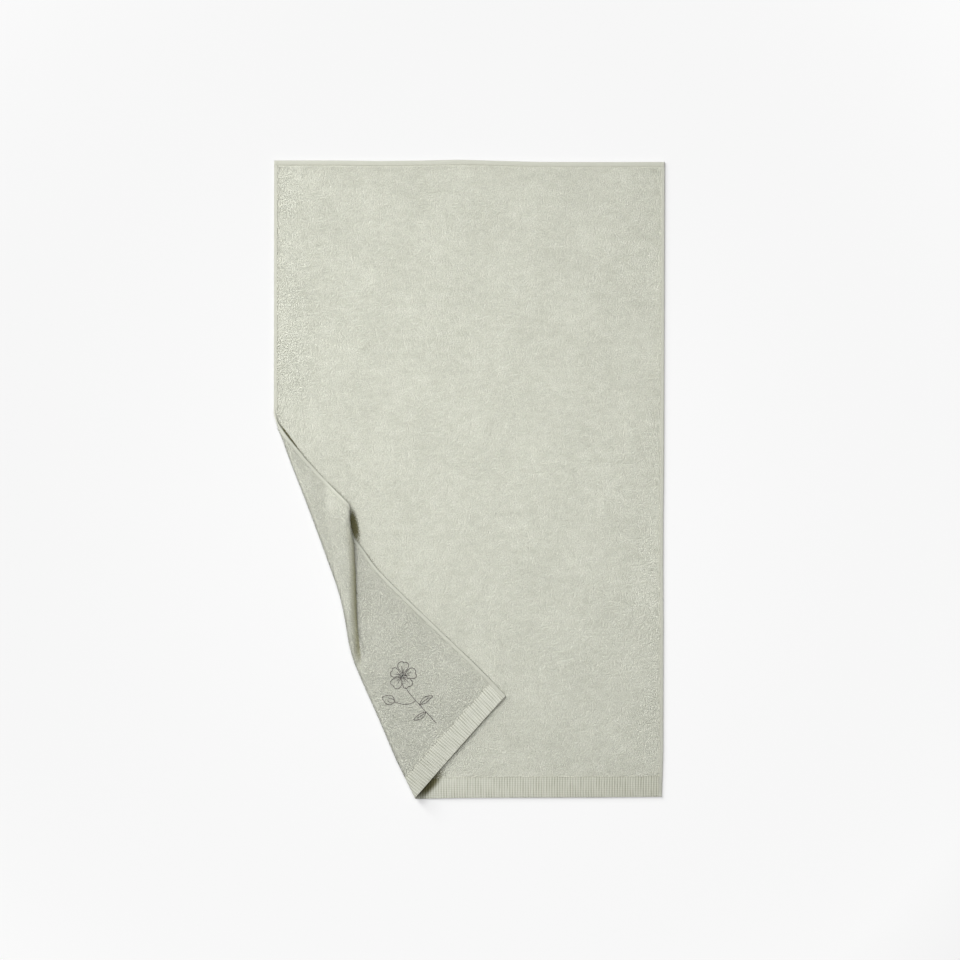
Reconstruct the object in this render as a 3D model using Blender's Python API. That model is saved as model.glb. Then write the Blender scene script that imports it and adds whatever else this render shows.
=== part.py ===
"""A terry hand towel that lies flat, with its lower left corner folded over the front.

Metres, +Z up. The origin is under the middle of the towel, on the surface that it lies on.
The cloth is described flat, by u across it and v along it, both from its middle, and `fold` says
where each point of the cloth's middle layer lies. The two faces stand off that layer along its
normal, so the towel is one closed sheet.
"""

import math

import bmesh
import bpy
import numpy as np
from mathutils import Vector
from mathutils.bvhtree import BVHTree
from mathutils.geometry import delaunay_2d_cdt

# Cloth
WIDTH = 0.500
LENGTH = 0.820
PILE = 0.0030  # thickness of the looped cloth
LAYER = 0.0043  # from the middle of one layer to the middle of the next
UNEVEN = 0.00018  # how far the pile's height wanders
UNEVEN_ACROSS = (47.0, 21.0)  # radians a metre along u and v
UNEVEN_ALONG = (-17.0, 39.0)

# Hems and ribbed band: half thicknesses of the cloth there
SIDE_HEM = 0.0048
TOP_HEM = 0.0062
HEM_HALF = 0.00105
EDGE_HALF = 0.0007
GROOVE_HALF = 0.0006  # in the line where a hem or the band meets the pile
BAND = 0.0270  # width of the band, from the lower edge
RIB_PITCH = 0.0034
RIB_LOW = 0.0007
RIB_HIGH = 0.0013
ROUND = 0.0012  # how far the edge and the pile's border take to reach full height

# How the edges of the flat cloth wander, outwards from the rectangle
SIDE_ROWS = (
    {"v": -0.410, "left": 0.0015, "right": -0.0035},
    {"v": -0.350, "left": 0.0040, "right": -0.0019},
    {"v": -0.270, "left": 0.0060, "right": -0.0018},
    {"v": -0.190, "left": 0.0072, "right": -0.0016},
    {"v": -0.110, "left": 0.0059, "right": -0.0020},
    {"v": -0.050, "left": 0.0014, "right": -0.0018},
    {"v": -0.014, "left": -0.0005, "right": -0.0014},
    {"v": 0.020, "left": -0.0006, "right": -0.0011},
    {"v": 0.053, "left": -0.0004, "right": -0.0010},
    {"v": 0.080, "left": 0.0010, "right": -0.0009},
    {"v": 0.410, "left": 0.0006, "right": 0.0000},
)
END_ROWS = (
    {"u": -0.250, "top": -0.0010, "bottom": 0.0000},
    {"u": -0.180, "top": -0.0010, "bottom": 0.0000},
    {"u": -0.115, "top": -0.0017, "bottom": 0.0000},
    {"u": -0.064, "top": -0.0012, "bottom": -0.0002},
    {"u": -0.012, "top": -0.0001, "bottom": -0.0014},
    {"u": 0.045, "top": -0.0018, "bottom": -0.0018},
    {"u": 0.090, "top": -0.0029, "bottom": -0.0019},
    {"u": 0.170, "top": -0.0031, "bottom": -0.0022},
    {"u": 0.250, "top": -0.0029, "bottom": -0.0030},
)

# The corner turns over along two creases, an upper and a lower one, given by a point and the
# angle below the +X axis. Past a crease the cloth comes back over the front. The upper crease
# bends into the lower one between two heights.
UPPER_POINT = (-0.2509, 0.0797)
UPPER_ANGLE = math.radians(69.8)
LOWER_POINT = (-0.1158, -0.3115)
LOWER_ANGLE = math.radians(66.0)
BEND_START = -0.1250
BEND_END = -0.2385
BEND_POWER = 1.2
CREASE_ROWS = (  # how the creases wander outwards
    {"y": -0.410, "out": 0.0000},
    {"y": -0.395, "out": 0.0005},
    {"y": -0.360, "out": 0.0015},
    {"y": -0.310, "out": 0.0005},
    {"y": -0.190, "out": 0.0000},
    {"y": -0.140, "out": 0.0012},
    {"y": -0.090, "out": 0.0004},
    {"y": -0.045, "out": 0.0001},
    {"y": -0.010, "out": 0.0007},
    {"y": 0.020, "out": 0.0012},
    {"y": 0.055, "out": 0.0008},
    {"y": 0.100, "out": 0.0000},
)
# Height of the rolled edge, middle to middle, along the towel
ROLL_ROWS = (
    {"y": -0.410, "height": 0.0125},
    {"y": -0.350, "height": 0.0100},
    {"y": -0.270, "height": 0.0092},
    {"y": -0.215, "height": 0.0112},
    {"y": -0.175, "height": 0.0128},
    {"y": -0.110, "height": 0.0110},
    {"y": -0.040, "height": 0.0090},
    {"y": 0.080, "height": 0.0075},
)
ROLL_FALL = 0.045  # the flap sinks from the roll's height to one layer over this length
ROLL_SPREAD = 0.9375  # half length of a turn for each unit of its height

# The spare cloth between the creases lies in one pleat, whose ridge runs up the towel. The rows
# follow it, as if the flap lay on the upper crease alone: `ridge` is its place, `take` is how
# wide the turned-back cloth is, `share` is how much of the spare cloth the pleat holds, `cover`
# is how far its upper layer stands clear of the flap, 1 where it lies over two layers, `fall` is
# the length over which the cloth climbs to the ridge, `slope` is how far it slopes down again to
# the ridge, `crest` is the height of the ridge's crest and `press` is how far the rolled edge is
# pressed down beside it.
PLEAT_NAMES = ("y", "ridge", "take", "share", "cover", "fall", "slope", "crest", "press")
PLEAT_ROWS = [dict(zip(PLEAT_NAMES, row)) for row in (
    (-0.2480, -0.1412, 0.0077, 1.00, 0.00, 0.044, 1.0, 0.0000, 0.00),
    (-0.2317, -0.1412, 0.0077, 1.00, 0.00, 0.044, 1.0, 0.0000, 0.70),
    (-0.2125, -0.1417, 0.0077, 0.98, 0.40, 0.044, 1.0, 0.0000, 0.95),
    (-0.1958, -0.1426, 0.0077, 0.97, 0.84, 0.044, 1.0, 0.0000, 0.95),
    (-0.1804, -0.1436, 0.0103, 0.94, 1.00, 0.044, 1.0, 0.0000, 0.85),
    (-0.1547, -0.1445, 0.0144, 0.79, 1.00, 0.044, 1.0, 0.0000, 0.75),
    (-0.1227, -0.1452, 0.0140, 0.67, 1.00, 0.044, 1.0, 0.0004, 0.75),
    (-0.0842, -0.1471, 0.0135, 0.57, 1.00, 0.036, 0.7, 0.0016, 0.60),
    (-0.0547, -0.1525, 0.0145, 0.55, 1.00, 0.026, 0.0, 0.0036, 0.00),
    (-0.0367, -0.1525, 0.0150, 0.55, 1.00, 0.022, 0.0, 0.0036, 0.00),
)]
PLEAT_REACH = 0.030  # the pleat's lines go this far past its last row
PLEAT_TAIL = 0.103  # the rest of the spare cloth is eased in over this length
PLEAT_TURN = 0.0040  # half length of the pleat's own turns
SLOPE_REACH = 0.0105  # the slope beside the ridge is this wide
SLOPE_DROP = 0.42
PRESS_SHARE = 0.85  # how much of that drop is cloth pressed thinner
CREST_BACK = 0.0015  # the crest lies this far behind the ridge
CREST_HALF = 0.0160
SWELL = 0.0010  # how far the flap's surface rises and falls
SWELL_X = (31.0, 9.0)  # radians a metre, and where the wave starts
SWELL_Y = (24.0, 1.5)

# How far the free edges of the flap settle on the cloth below, along the side hem
SAG_WIDTH = 0.030
SAG_ROWS = (
    {"v": -0.410, "sag": 0.0011},
    {"v": -0.080, "sag": 0.0011},
    {"v": -0.062, "sag": 0.0022},
    {"v": -0.045, "sag": 0.0038},
    {"v": -0.032, "sag": 0.0034},
    {"v": -0.020, "sag": 0.0026},
    {"v": 0.005, "sag": 0.0029},
    {"v": 0.020, "sag": 0.0018},
    {"v": 0.035, "sag": 0.0008},
    {"v": 0.050, "sag": 0.0005},
    {"v": 0.064, "sag": 0.0008},
    {"v": 0.080, "sag": 0.0011},
)

# Mesh
BODY_STEP = 0.046
FLAP_STEP = 0.014
LINE_STEP = 0.040  # along the hems
LEFT_STEP = 0.015  # along the side hem that is folded over
FOLD_STEP = 0.012  # along the creases and the pleat
CREASE_TOP = 0.100
CREASE_LOW = -0.420
NORMAL_STEP = 0.0002
ROLL_CUTS = (-1.0, -0.66, -0.40, -0.18, 0.0, 0.18, 0.40, 0.66, 1.0)
PLEAT_CUTS = (-1.0, -0.52, -0.20, 0.20, 0.52, 1.0)
SLOPE_CUTS = (-2.6, -1.75)  # lines behind the ridge, in the same measure as the cuts
PLEAT_END = 0.45  # the pleat's lines end at this share of the rolled edge's turn
CLEAR = 0.0045  # free points keep this far from every drawn line
SQUEEZE = 0.85  # each time that layers meet, the cloth there is pressed to this share
SQUEEZE_TIMES = 5
SAME = 1e-6

COLOUR = (0.62, 0.63, 0.55, 1.0)
ROUGHNESS = 0.95
SHARP = math.radians(25.0)


def column(rows, key, name, at):
    """One named column of a table, read between its rows."""
    return np.interp(at, [row[key] for row in rows], [row[name] for row in rows])


def smooth(t):
    t = np.clip(t, 0.0, 1.0)
    return t * t * (3.0 - 2.0 * t)


def turned(t):
    """How far a soft turn has gone, from 0 at t = -1 to 1 at t = 1."""
    t = np.clip(t, -1.0, 1.0)
    return 0.5 + t * (15.0 - 10.0 * t * t + 3.0 * t**4) / 16.0


def rounded(length, half):
    """The size of `length`, with its corner at zero rounded over `half` each way."""
    t = np.clip(length / half, -1.0, 1.0)
    soft = half * (t * t * (15.0 - 10.0 * t * t + 3.0 * t**4) / 8.0 + 0.3125 * (1.0 - t * t) ** 3)
    return np.where(np.abs(length) < half, soft, np.abs(length))


def past_zero(length, half):
    return 0.5 * (length + rounded(length, half))


def outwards(angle):
    return np.array((-math.sin(angle), -math.cos(angle)))


def in_plane(u, v):
    """The flat cloth with its uneven edges."""
    left = column(SIDE_ROWS, "v", "left", v)
    right = column(SIDE_ROWS, "v", "right", v)
    top = column(END_ROWS, "u", "top", u)
    bottom = column(END_ROWS, "u", "bottom", u)
    across = u / WIDTH + 0.5
    along = v / LENGTH + 0.5
    x = u + right * across**3 - left * (1.0 - across) ** 3
    y = v + top * along**3 - bottom * (1.0 - along) ** 3
    return np.stack((x, y), -1)


def past_line(plane, point, angle):
    """How far each point lies past a crease, which wanders a little."""
    way = outwards(angle)
    distance = (plane - np.array(point)) @ way
    return distance - column(CREASE_ROWS, "y", "out", plane[..., 1] - distance * way[1])


def bend(y):
    """How far the upper crease has bent into the lower one."""
    share = np.clip((BEND_START - y) / (BEND_START - BEND_END), 0.0, 1.0)
    return smooth(share**BEND_POWER)


def roll_half(y):
    """Half length of the turn at the rolled edge."""
    return ROLL_SPREAD * column(ROLL_ROWS, "y", "height", y)


def past_upper(plane):
    """How far each point lies past the upper crease, and which way is past it there."""
    straight = past_line(plane, UPPER_POINT, UPPER_ANGLE)
    share = bend(plane[..., 1] - straight * outwards(UPPER_ANGLE)[1])[..., None]
    distance = straight + share[..., 0] * (past_line(plane, LOWER_POINT, LOWER_ANGLE) - straight)
    return distance, outwards(UPPER_ANGLE) + share * (outwards(LOWER_ANGLE) - outwards(UPPER_ANGLE))


def over_upper(plane):
    """The cloth as if it were turned over the upper crease alone, with no thickness."""
    distance, way = past_upper(plane)
    return plane - 2.0 * distance[..., None] * way


def before_upper(flap):
    """The point of the flat cloth that `over_upper` brings to a place on the flap."""
    plane = flap
    for _ in range(8):
        missed = flap - over_upper(plane)
        plane = plane + missed - 2.0 * (missed @ outwards(UPPER_ANGLE)) * outwards(UPPER_ANGLE)
    return plane


def fold_parts(u, v):
    """The middle layer's place and height, how much each point belongs to the flap, and how much
    of its thickness is left where the pleat presses it."""
    plane = in_plane(u, v)
    over = over_upper(plane)
    ridge, take, share, cover, fall, slope, crest, press = (
        column(PLEAT_ROWS, "y", name, over[..., 1]) for name in PLEAT_NAMES[1:]
    )
    past = over[..., 0] - ridge
    half = roll_half(plane[..., 1])

    in_fold = (past_zero(past, PLEAT_TURN) - past_zero(past - take, PLEAT_TURN)) / take
    eased = smooth((past - 0.5 * take) / PLEAT_TAIL)
    on_lower = share * in_fold + (1.0 - share) * eased
    under = turned(past / PLEAT_TURN)
    lowest = turned((past - take) / PLEAT_TURN)
    climb = 1.0 - smooth((-past - take) / fall)
    kept = 1.0 - SLOPE_DROP * slope * cover * smooth(1.0 - np.abs(past) / SLOPE_REACH)
    crest = crest * smooth(1.0 - np.abs(past + CREST_BACK) / CREST_HALF)
    narrowed = 1.0 - press * smooth(1.0 + past / SLOPE_REACH)

    place = plane
    height = np.zeros_like(past)
    flap = np.zeros_like(past)
    lower = (past_line(plane, LOWER_POINT, LOWER_ANGLE), outwards(LOWER_ANGLE))
    for part, (distance, way) in ((1.0 - on_lower, past_upper(plane)), (on_lower, lower)):
        place = place - (part * (distance + rounded(distance, half)))[..., None] * way
        over = part * turned(distance / half)
        loose = (half / ROLL_SPREAD - LAYER) * (1.0 - smooth(distance / ROLL_FALL)) * narrowed
        stacked = loose + past_zero(2.0 * LAYER * cover * climb * kept - loose, PLEAT_TURN) + crest
        lift = stacked + (loose * (1.0 - cover) - stacked) * under
        height = height + over * (LAYER + lift + LAYER * cover * kept * (under - lowest))
        flap = flap + over
    height = height + flap * flap * free_rise(u, v, place)
    return place, 0.5 * PILE + height, flap, 1.0 - PRESS_SHARE * (1.0 - kept)


def free_rise(u, v, place):
    """The soft unevenness of the flap, less the settling of its free edges."""
    wave_x = np.sin(SWELL_X[0] * place[..., 0] + SWELL_X[1])
    wave_y = np.cos(SWELL_Y[0] * place[..., 1] + SWELL_Y[1])
    from_edge = np.minimum(u + 0.5 * WIDTH, v + 0.5 * LENGTH)
    sag = column(SAG_ROWS, "v", "sag", v) * (1.0 - smooth(from_edge / SAG_WIDTH))
    return SWELL * (0.5 + 0.5 * wave_x * wave_y) - sag


def fold(u, v):
    place, height, *_ = fold_parts(u, v)
    return np.concatenate((place, height[..., None]), -1)


def normals(u, v):
    """The front face's direction at each point."""
    across = fold(u + NORMAL_STEP, v) - fold(u - NORMAL_STEP, v)
    along = fold(u, v + NORMAL_STEP) - fold(u, v - NORMAL_STEP)
    normal = np.cross(across, along)
    return normal / np.linalg.norm(normal, axis=-1, keepdims=True)


def half_thickness(u, v):
    """From the middle layer to a face: pile, hems, the ribbed band and the lines between."""
    across = np.sin(UNEVEN_ACROSS[0] * u + UNEVEN_ACROSS[1] * v)
    along = np.cos(UNEVEN_ALONG[0] * u + UNEVEN_ALONG[1] * v)
    full = 0.5 * PILE + UNEVEN * across * along
    sides = np.minimum(u, -u) + 0.5 * WIDTH
    top = 0.5 * LENGTH - v
    bottom = 0.5 * LENGTH + v
    half = full
    for distance, hem in ((sides, SIDE_HEM), (top, TOP_HEM)):
        stops = (0.0, ROUND, hem - ROUND, hem, hem + ROUND, hem + ROUND + SAME)
        heights = (EDGE_HALF, HEM_HALF, HEM_HALF, GROOVE_HALF, 0.5 * PILE, PILE)
        half = np.minimum(half, np.interp(distance, stops, heights))
    wave = np.abs((u / RIB_PITCH) % 1.0 - 0.5) * 2.0
    rib = RIB_LOW + (RIB_HIGH - RIB_LOW) * wave
    start = smooth(bottom / ROUND)
    band = EDGE_HALF + (rib - EDGE_HALF) * start
    end = np.clip((bottom - (BAND - ROUND)) / ROUND, 0.0, 1.0)
    band = band + (GROOVE_HALF - band) * end
    pile = np.interp(bottom, (BAND, BAND + ROUND, BAND + ROUND + SAME), (GROOVE_HALF, 0.5 * PILE, PILE))
    return np.minimum(half, np.where(bottom < BAND, band, pile))


class Pattern:
    """Lines and points on the flat cloth, from which the mesh is made."""

    def __init__(self):
        self.points = []
        self.lines = []
        self.keep_out = []

    def line(self, points, guard=True):
        """A polyline, cut off at the cloth's edges."""
        inside = [p for p in points if abs(p[0]) <= 0.5 * WIDTH + SAME and abs(p[1]) <= 0.5 * LENGTH + SAME]
        if len(inside) < 2:
            return
        first = len(self.points)
        self.points.extend(inside)
        self.lines.extend((first + i, first + i + 1) for i in range(len(inside) - 1))
        if guard:
            self.keep_out.extend(zip(inside[:-1], inside[1:]))

    def free(self, point):
        """A single point, left out where a drawn line is near."""
        if all(segment_distance(point, a, b) > CLEAR for a, b in self.keep_out):
            self.points.append(point)

    def triangles(self):
        vectors = [Vector(p) for p in self.points]
        verts, _, faces, *_ = delaunay_2d_cdt(vectors, self.lines, [], 0, SAME)
        return np.array([tuple(v) for v in verts]), faces


def segment_distance(point, a, b):
    ax, ay = a
    bx, by = b
    length = (bx - ax) ** 2 + (by - ay) ** 2
    t = 0.0 if length == 0.0 else ((point[0] - ax) * (bx - ax) + (point[1] - ay) * (by - ay)) / length
    t = min(1.0, max(0.0, t))
    return math.hypot(point[0] - ax - t * (bx - ax), point[1] - ay - t * (by - ay))


def steps(start, end, step):
    """Even values from start to end, about a step apart."""
    return np.linspace(start, end, max(1, round(abs(end - start) / step)) + 1)


def draw_hems(pattern):
    side, top, bottom = 0.5 * WIDTH, 0.5 * LENGTH, -0.5 * LENGTH
    for inset in (0.0, ROUND, SIDE_HEM - ROUND, SIDE_HEM, SIDE_HEM + ROUND):
        for u, step in ((-side + inset, LEFT_STEP), (side - inset, LINE_STEP)):
            pattern.line([(u, v) for v in steps(bottom, top, step)])
    for inset in (0.0, ROUND, TOP_HEM - ROUND, TOP_HEM, TOP_HEM + ROUND):
        pattern.line([(u, top - inset) for u in steps(-side, side, LINE_STEP)])
    for inset in (0.0, ROUND, BAND - ROUND, BAND, BAND + ROUND):
        pattern.line([(u, bottom + inset) for u in steps(-side, side, LINE_STEP)])


def draw_ribs(pattern):
    first = math.ceil((SIDE_HEM + 2.0 * ROUND - 0.5 * WIDTH) / RIB_PITCH * 2.0)
    bottom = -0.5 * LENGTH
    for i in range(first, -first + 1):
        u = 0.5 * i * RIB_PITCH
        pattern.line([(u, bottom + ROUND), (u, bottom + BAND - ROUND)], guard=False)


def crease_row(y, cut):
    """A point of the flat cloth beside the crease, at a share of the turn's half length."""
    upper_x = UPPER_POINT[0] + (UPPER_POINT[1] - y) / math.tan(UPPER_ANGLE)
    lower_x = LOWER_POINT[0] + (LOWER_POINT[1] - y) / math.tan(LOWER_ANGLE)
    share = float(bend(y))
    out = cut * float(roll_half(y)) + float(column(CREASE_ROWS, "y", "out", y))
    away = outwards(UPPER_ANGLE + share * (LOWER_ANGLE - UPPER_ANGLE)) * out
    return (upper_x + share * (lower_x - upper_x) + away[0], y + away[1])


def draw_creases(pattern):
    for cut in ROLL_CUTS:
        pattern.line(cut_to_cloth([crease_row(y, cut) for y in steps(CREASE_TOP, CREASE_LOW, FOLD_STEP)]))


def cut_to_cloth(row):
    """A polyline that runs off the cloth at either end, ended on the left or the lower edge."""
    limits = ((0, -0.5 * WIDTH), (1, -0.5 * LENGTH))
    inside = [all(p[axis] >= limit for axis, limit in limits) for p in row]
    kept = [p for p, is_in in zip(row, inside) if is_in]
    first, last = inside.index(True), len(row) - 1 - inside[::-1].index(True)
    for inner, outer in ((first, first - 1), (last, last + 1)):
        if not 0 <= outer < len(row):
            continue
        axis, limit = limits[0] if row[outer][0] < limits[0][1] else limits[1]
        share = (limit - row[inner][axis]) / (row[outer][axis] - row[inner][axis])
        end = tuple(row[inner][i] + share * (row[outer][i] - row[inner][i]) for i in (0, 1))
        kept = [end] + kept if outer < first else kept + [end]
    return kept


def draw_pleat(pattern):
    """Lines along the ridge and along the pleat's inner turn, ended where the crease begins."""
    low, high = PLEAT_ROWS[1]["y"], PLEAT_ROWS[-1]["y"] + PLEAT_REACH
    cuts = ((0.0, (*SLOPE_CUTS, *PLEAT_CUTS)), (0.5, (0.0,)), (1.0, PLEAT_CUTS))
    for share, cut in ((share, cut) for share, row in cuts for cut in row):
        line = []
        for y in steps(high, low, FOLD_STEP):
            ridge, take = (float(column(PLEAT_ROWS, "y", name, y)) for name in ("ridge", "take"))
            plane = before_upper(np.array((ridge + share * take + cut * PLEAT_TURN, y)))
            if past_upper(plane)[0] > PLEAT_END * roll_half(plane[1]):
                line.append((float(plane[0]), float(plane[1])))
        if len(line) > 1:
            pattern.line(cut_to_cloth(line))


def draw_points(pattern):
    """Free points, closer together on the flap than on the rest of the towel."""
    side, end = 0.5 * WIDTH, 0.5 * LENGTH
    for step, wanted in ((FLAP_STEP, True), (BODY_STEP, False)):
        for v in steps(-end + BAND, end - TOP_HEM, step)[1:-1]:
            for u in steps(-side + SIDE_HEM, side - SIDE_HEM, step)[1:-1]:
                plane = np.array((u, v))
                past = max(past_upper(plane)[0], past_line(plane, LOWER_POINT, LOWER_ANGLE))
                if (past > 0.0) == wanted:
                    pattern.free((float(u), float(v)))


def closed_sheet(flat, triangles):
    """Faces of the whole sheet: the front, the back and the strip along the edges. The back's
    points follow the front's in the same order."""
    count = len(flat)
    faces = []
    borders = set()
    for a, b, c in triangles:
        (ax, ay), (bx, by), (cx, cy) = flat[a], flat[b], flat[c]
        if (bx - ax) * (cy - ay) < (cx - ax) * (by - ay):
            b, c = c, b
        faces.append((a, b, c))
        faces.append((c + count, b + count, a + count))
        for edge in ((a, b), (b, c), (c, a)):
            if (edge[1], edge[0]) in borders:
                borders.remove((edge[1], edge[0]))
            else:
                borders.add(edge)
    for a, b in sorted(borders):
        faces.append((b, a, a + count))
        faces.append((b, a + count, b + count))
    return faces


def meeting(points, faces):
    """The points of all faces that pass through another part of the sheet."""
    tree = BVHTree.FromPolygons(points.tolist(), faces)
    found = set()
    for a, b in tree.overlap(tree):
        if not set(faces[a]) & set(faces[b]):
            found.update(faces[a], faces[b])
    return found


def cloth_mesh():
    pattern = Pattern()
    draw_hems(pattern)
    draw_ribs(pattern)
    draw_creases(pattern)
    draw_pleat(pattern)
    draw_points(pattern)
    flat, triangles = pattern.triangles()
    faces = closed_sheet(flat, triangles)

    u, v = flat[:, 0], flat[:, 1]
    place, height, flap, pressed = fold_parts(u, v)
    middle = np.concatenate((place, height[:, None]), -1)
    normal = normals(u, v)
    half = half_thickness(u, v) * pressed
    for _ in range(SQUEEZE_TIMES + 1):
        below = half * flap + 0.5 * PILE * (1.0 - flap)
        points = np.concatenate((middle + normal * half[:, None], middle - normal * below[:, None]))
        found = sorted({i % len(flat) for i in meeting(points, faces)})
        half[found] *= SQUEEZE

    mesh = bmesh.new()
    verts = [mesh.verts.new(p) for p in points]
    for face in faces:
        mesh.faces.new([verts[i] for i in face])
    return mesh


def terry():
    material = bpy.data.materials.new("sage terry")
    material.use_nodes = True
    shader = material.node_tree.nodes["Principled BSDF"]
    shader.inputs["Base Color"].default_value = COLOUR
    shader.inputs["Roughness"].default_value = ROUGHNESS
    shader.inputs["Metallic"].default_value = 0.0
    return material


def build():
    for old in list(bpy.data.objects):
        bpy.data.objects.remove(old)
    mesh = bpy.data.meshes.new("towel")
    shape = cloth_mesh()
    shape.to_mesh(mesh)
    shape.free()
    mesh.materials.append(terry())
    mesh.shade_smooth()
    mesh.set_sharp_from_angle(angle=SHARP)
    towel = bpy.data.objects.new("towel", mesh)
    bpy.context.scene.collection.objects.link(towel)


build()
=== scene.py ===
import math

import bpy
import numpy as np
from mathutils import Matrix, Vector
from mathutils.bvhtree import BVHTree
from mathutils.geometry import delaunay_2d_cdt
from mathutils.kdtree import KDTree


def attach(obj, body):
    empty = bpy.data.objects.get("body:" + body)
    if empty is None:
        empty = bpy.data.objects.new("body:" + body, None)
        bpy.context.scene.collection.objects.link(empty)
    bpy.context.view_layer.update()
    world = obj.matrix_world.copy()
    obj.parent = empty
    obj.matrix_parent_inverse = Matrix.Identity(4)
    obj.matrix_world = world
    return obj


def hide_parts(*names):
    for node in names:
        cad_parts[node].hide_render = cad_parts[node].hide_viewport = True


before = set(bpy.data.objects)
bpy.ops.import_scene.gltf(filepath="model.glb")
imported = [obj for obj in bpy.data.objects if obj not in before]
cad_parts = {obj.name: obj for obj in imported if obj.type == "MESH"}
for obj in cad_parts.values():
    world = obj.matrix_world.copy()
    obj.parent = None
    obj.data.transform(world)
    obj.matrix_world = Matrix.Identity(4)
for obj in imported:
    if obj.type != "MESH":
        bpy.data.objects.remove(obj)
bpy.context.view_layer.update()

# Metres throughout. The cloth is described flat, by u across it and v along it, both from its
# middle. Its front is the face that looks up where it lies flat, its back the one that looks up
# on the folded corner.
towel = {
    "width": 0.500,
    "length": 0.820,
    "pile": 0.0030,  # thickness of the looped cloth
    "layer": 0.0043,  # middle of one layer to the middle of the next
    "ground": 0.0002,  # the woven ground under the loops, from the middle
    "uneven": 0.00018,  # how far the loops' height wanders
    "unevenWaves": ((47.0, 21.0), (-17.0, 39.0)),  # radians a metre along u and v
    "sideHem": 0.0048,
    "topHem": 0.0062,
    "hemHalf": 0.00105,  # half thicknesses
    "edgeHalf": 0.0009,
    "grooveHalf": 0.0008,
    "band": 0.0270,  # the ribbed band, from the lower edge
    "ribPitch": 0.0034,
    "ribLow": 0.0007,  # half thicknesses
    "ribHigh": 0.0013,
    "round": 0.0012,  # the length over which an edge or a hem is rounded
    "edgeBulge": 0.0004,
}

halfWidth, halfLength = 0.5 * towel["width"], 0.5 * towel["length"]


def table(names, *rows):  # the first name says where along the cloth a row stands
    return [dict(zip(names, row)) for row in rows]


def column(rows, name, at):
    return np.interp(at, [next(iter(row.values())) for row in rows], [row[name] for row in rows])


# How the edges wander, outwards from the rectangle
sideRows = table(
    ("v", "left", "right"),
    (-0.410, 0.0015, -0.0035),
    (-0.350, 0.0040, -0.0019),
    (-0.270, 0.0060, -0.0018),
    (-0.190, 0.0072, -0.0016),
    (-0.110, 0.0059, -0.0020),
    (-0.050, 0.0014, -0.0018),
    (-0.014, -0.0005, -0.0014),
    (0.020, -0.0006, -0.0011),
    (0.053, -0.0004, -0.0010),
    (0.080, 0.0010, -0.0009),
    (0.410, 0.0006, 0.0000),
)
endRows = table(
    ("u", "top", "bottom"),
    (-0.250, -0.0010, 0.0000),
    (-0.180, -0.0010, 0.0000),
    (-0.115, -0.0017, 0.0000),
    (-0.064, -0.0012, -0.0002),
    (-0.012, -0.0001, -0.0014),
    (0.045, -0.0018, -0.0018),
    (0.090, -0.0029, -0.0019),
    (0.170, -0.0031, -0.0022),
    (0.250, -0.0029, -0.0030),
)

# The corner turns over along an upper and a lower crease, and the spare cloth between them lies
# in one pleat
corner = {
    "upperPoint": (-0.2509, 0.0797),
    "upperAngle": 69.8,  # degrees below the +X axis
    "lowerPoint": (-0.1158, -0.3115),
    "lowerAngle": 66.0,
    "bendStart": -0.1250,  # where the upper crease bends into the lower one
    "bendEnd": -0.2385,
    "bendPower": 1.2,
    "rollFall": 0.045,  # the cloth comes down from the rolled edge over this length
    "rollSpread": 0.9375,  # half the turn's length, as a share of the roll's height
    "pleatTail": 0.103,  # beyond the pleat the cloth follows the lower crease after this length
    "pleatTurn": 0.0040,  # half the length of the pleat's own turns
    "slopeReach": 0.0105,  # the pleat's outer side slopes down to its ridge over this length
    "slopeDrop": 0.42,
    "pressShare": 0.85,  # how much of that drop is cloth pressed thinner
    "crestBack": 0.0015,  # the pleat's crest stands this far behind its ridge
    "crestHalf": 0.0160,
    "swell": 0.0010,  # the flap's soft unevenness
    "swellAcross": (31.0, 9.0),  # radians a metre, and the wave's start
    "swellAlong": (24.0, 1.5),
    "turnShare": 0.15,  # past this share of the flap its loops stand full height on the other face
    "shadeEnd": -0.2450,  # the pleat's shade fades out above here
    "shadeFade": 0.025,
    "sagWidth": 0.030,  # the free edges settle over this width
}
sagRows = table(  # how far they settle
    ("v", "sag"),
    (-0.410, 0.0011),
    (-0.080, 0.0011),
    (-0.062, 0.0022),
    (-0.045, 0.0038),
    (-0.032, 0.0034),
    (-0.020, 0.0026),
    (0.005, 0.0029),
    (0.020, 0.0018),
    (0.035, 0.0008),
    (0.050, 0.0005),
    (0.064, 0.0008),
    (0.080, 0.0011),
)
creaseRows = table(  # how the creases wander outwards
    ("y", "out"),
    (-0.410, 0.0000),
    (-0.395, 0.0005),
    (-0.360, 0.0015),
    (-0.310, 0.0005),
    (-0.190, 0.0000),
    (-0.140, 0.0012),
    (-0.090, 0.0004),
    (-0.045, 0.0001),
    (-0.010, 0.0007),
    (0.020, 0.0012),
    (0.055, 0.0008),
    (0.100, 0.0000),
)
rollRows = table(  # how high the cloth stands along the rolled edge
    ("y", "height"),
    (-0.410, 0.0125),
    (-0.350, 0.0100),
    (-0.270, 0.0092),
    (-0.215, 0.0112),
    (-0.175, 0.0128),
    (-0.110, 0.0110),
    (-0.040, 0.0090),
    (0.080, 0.0075),
)
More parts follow.
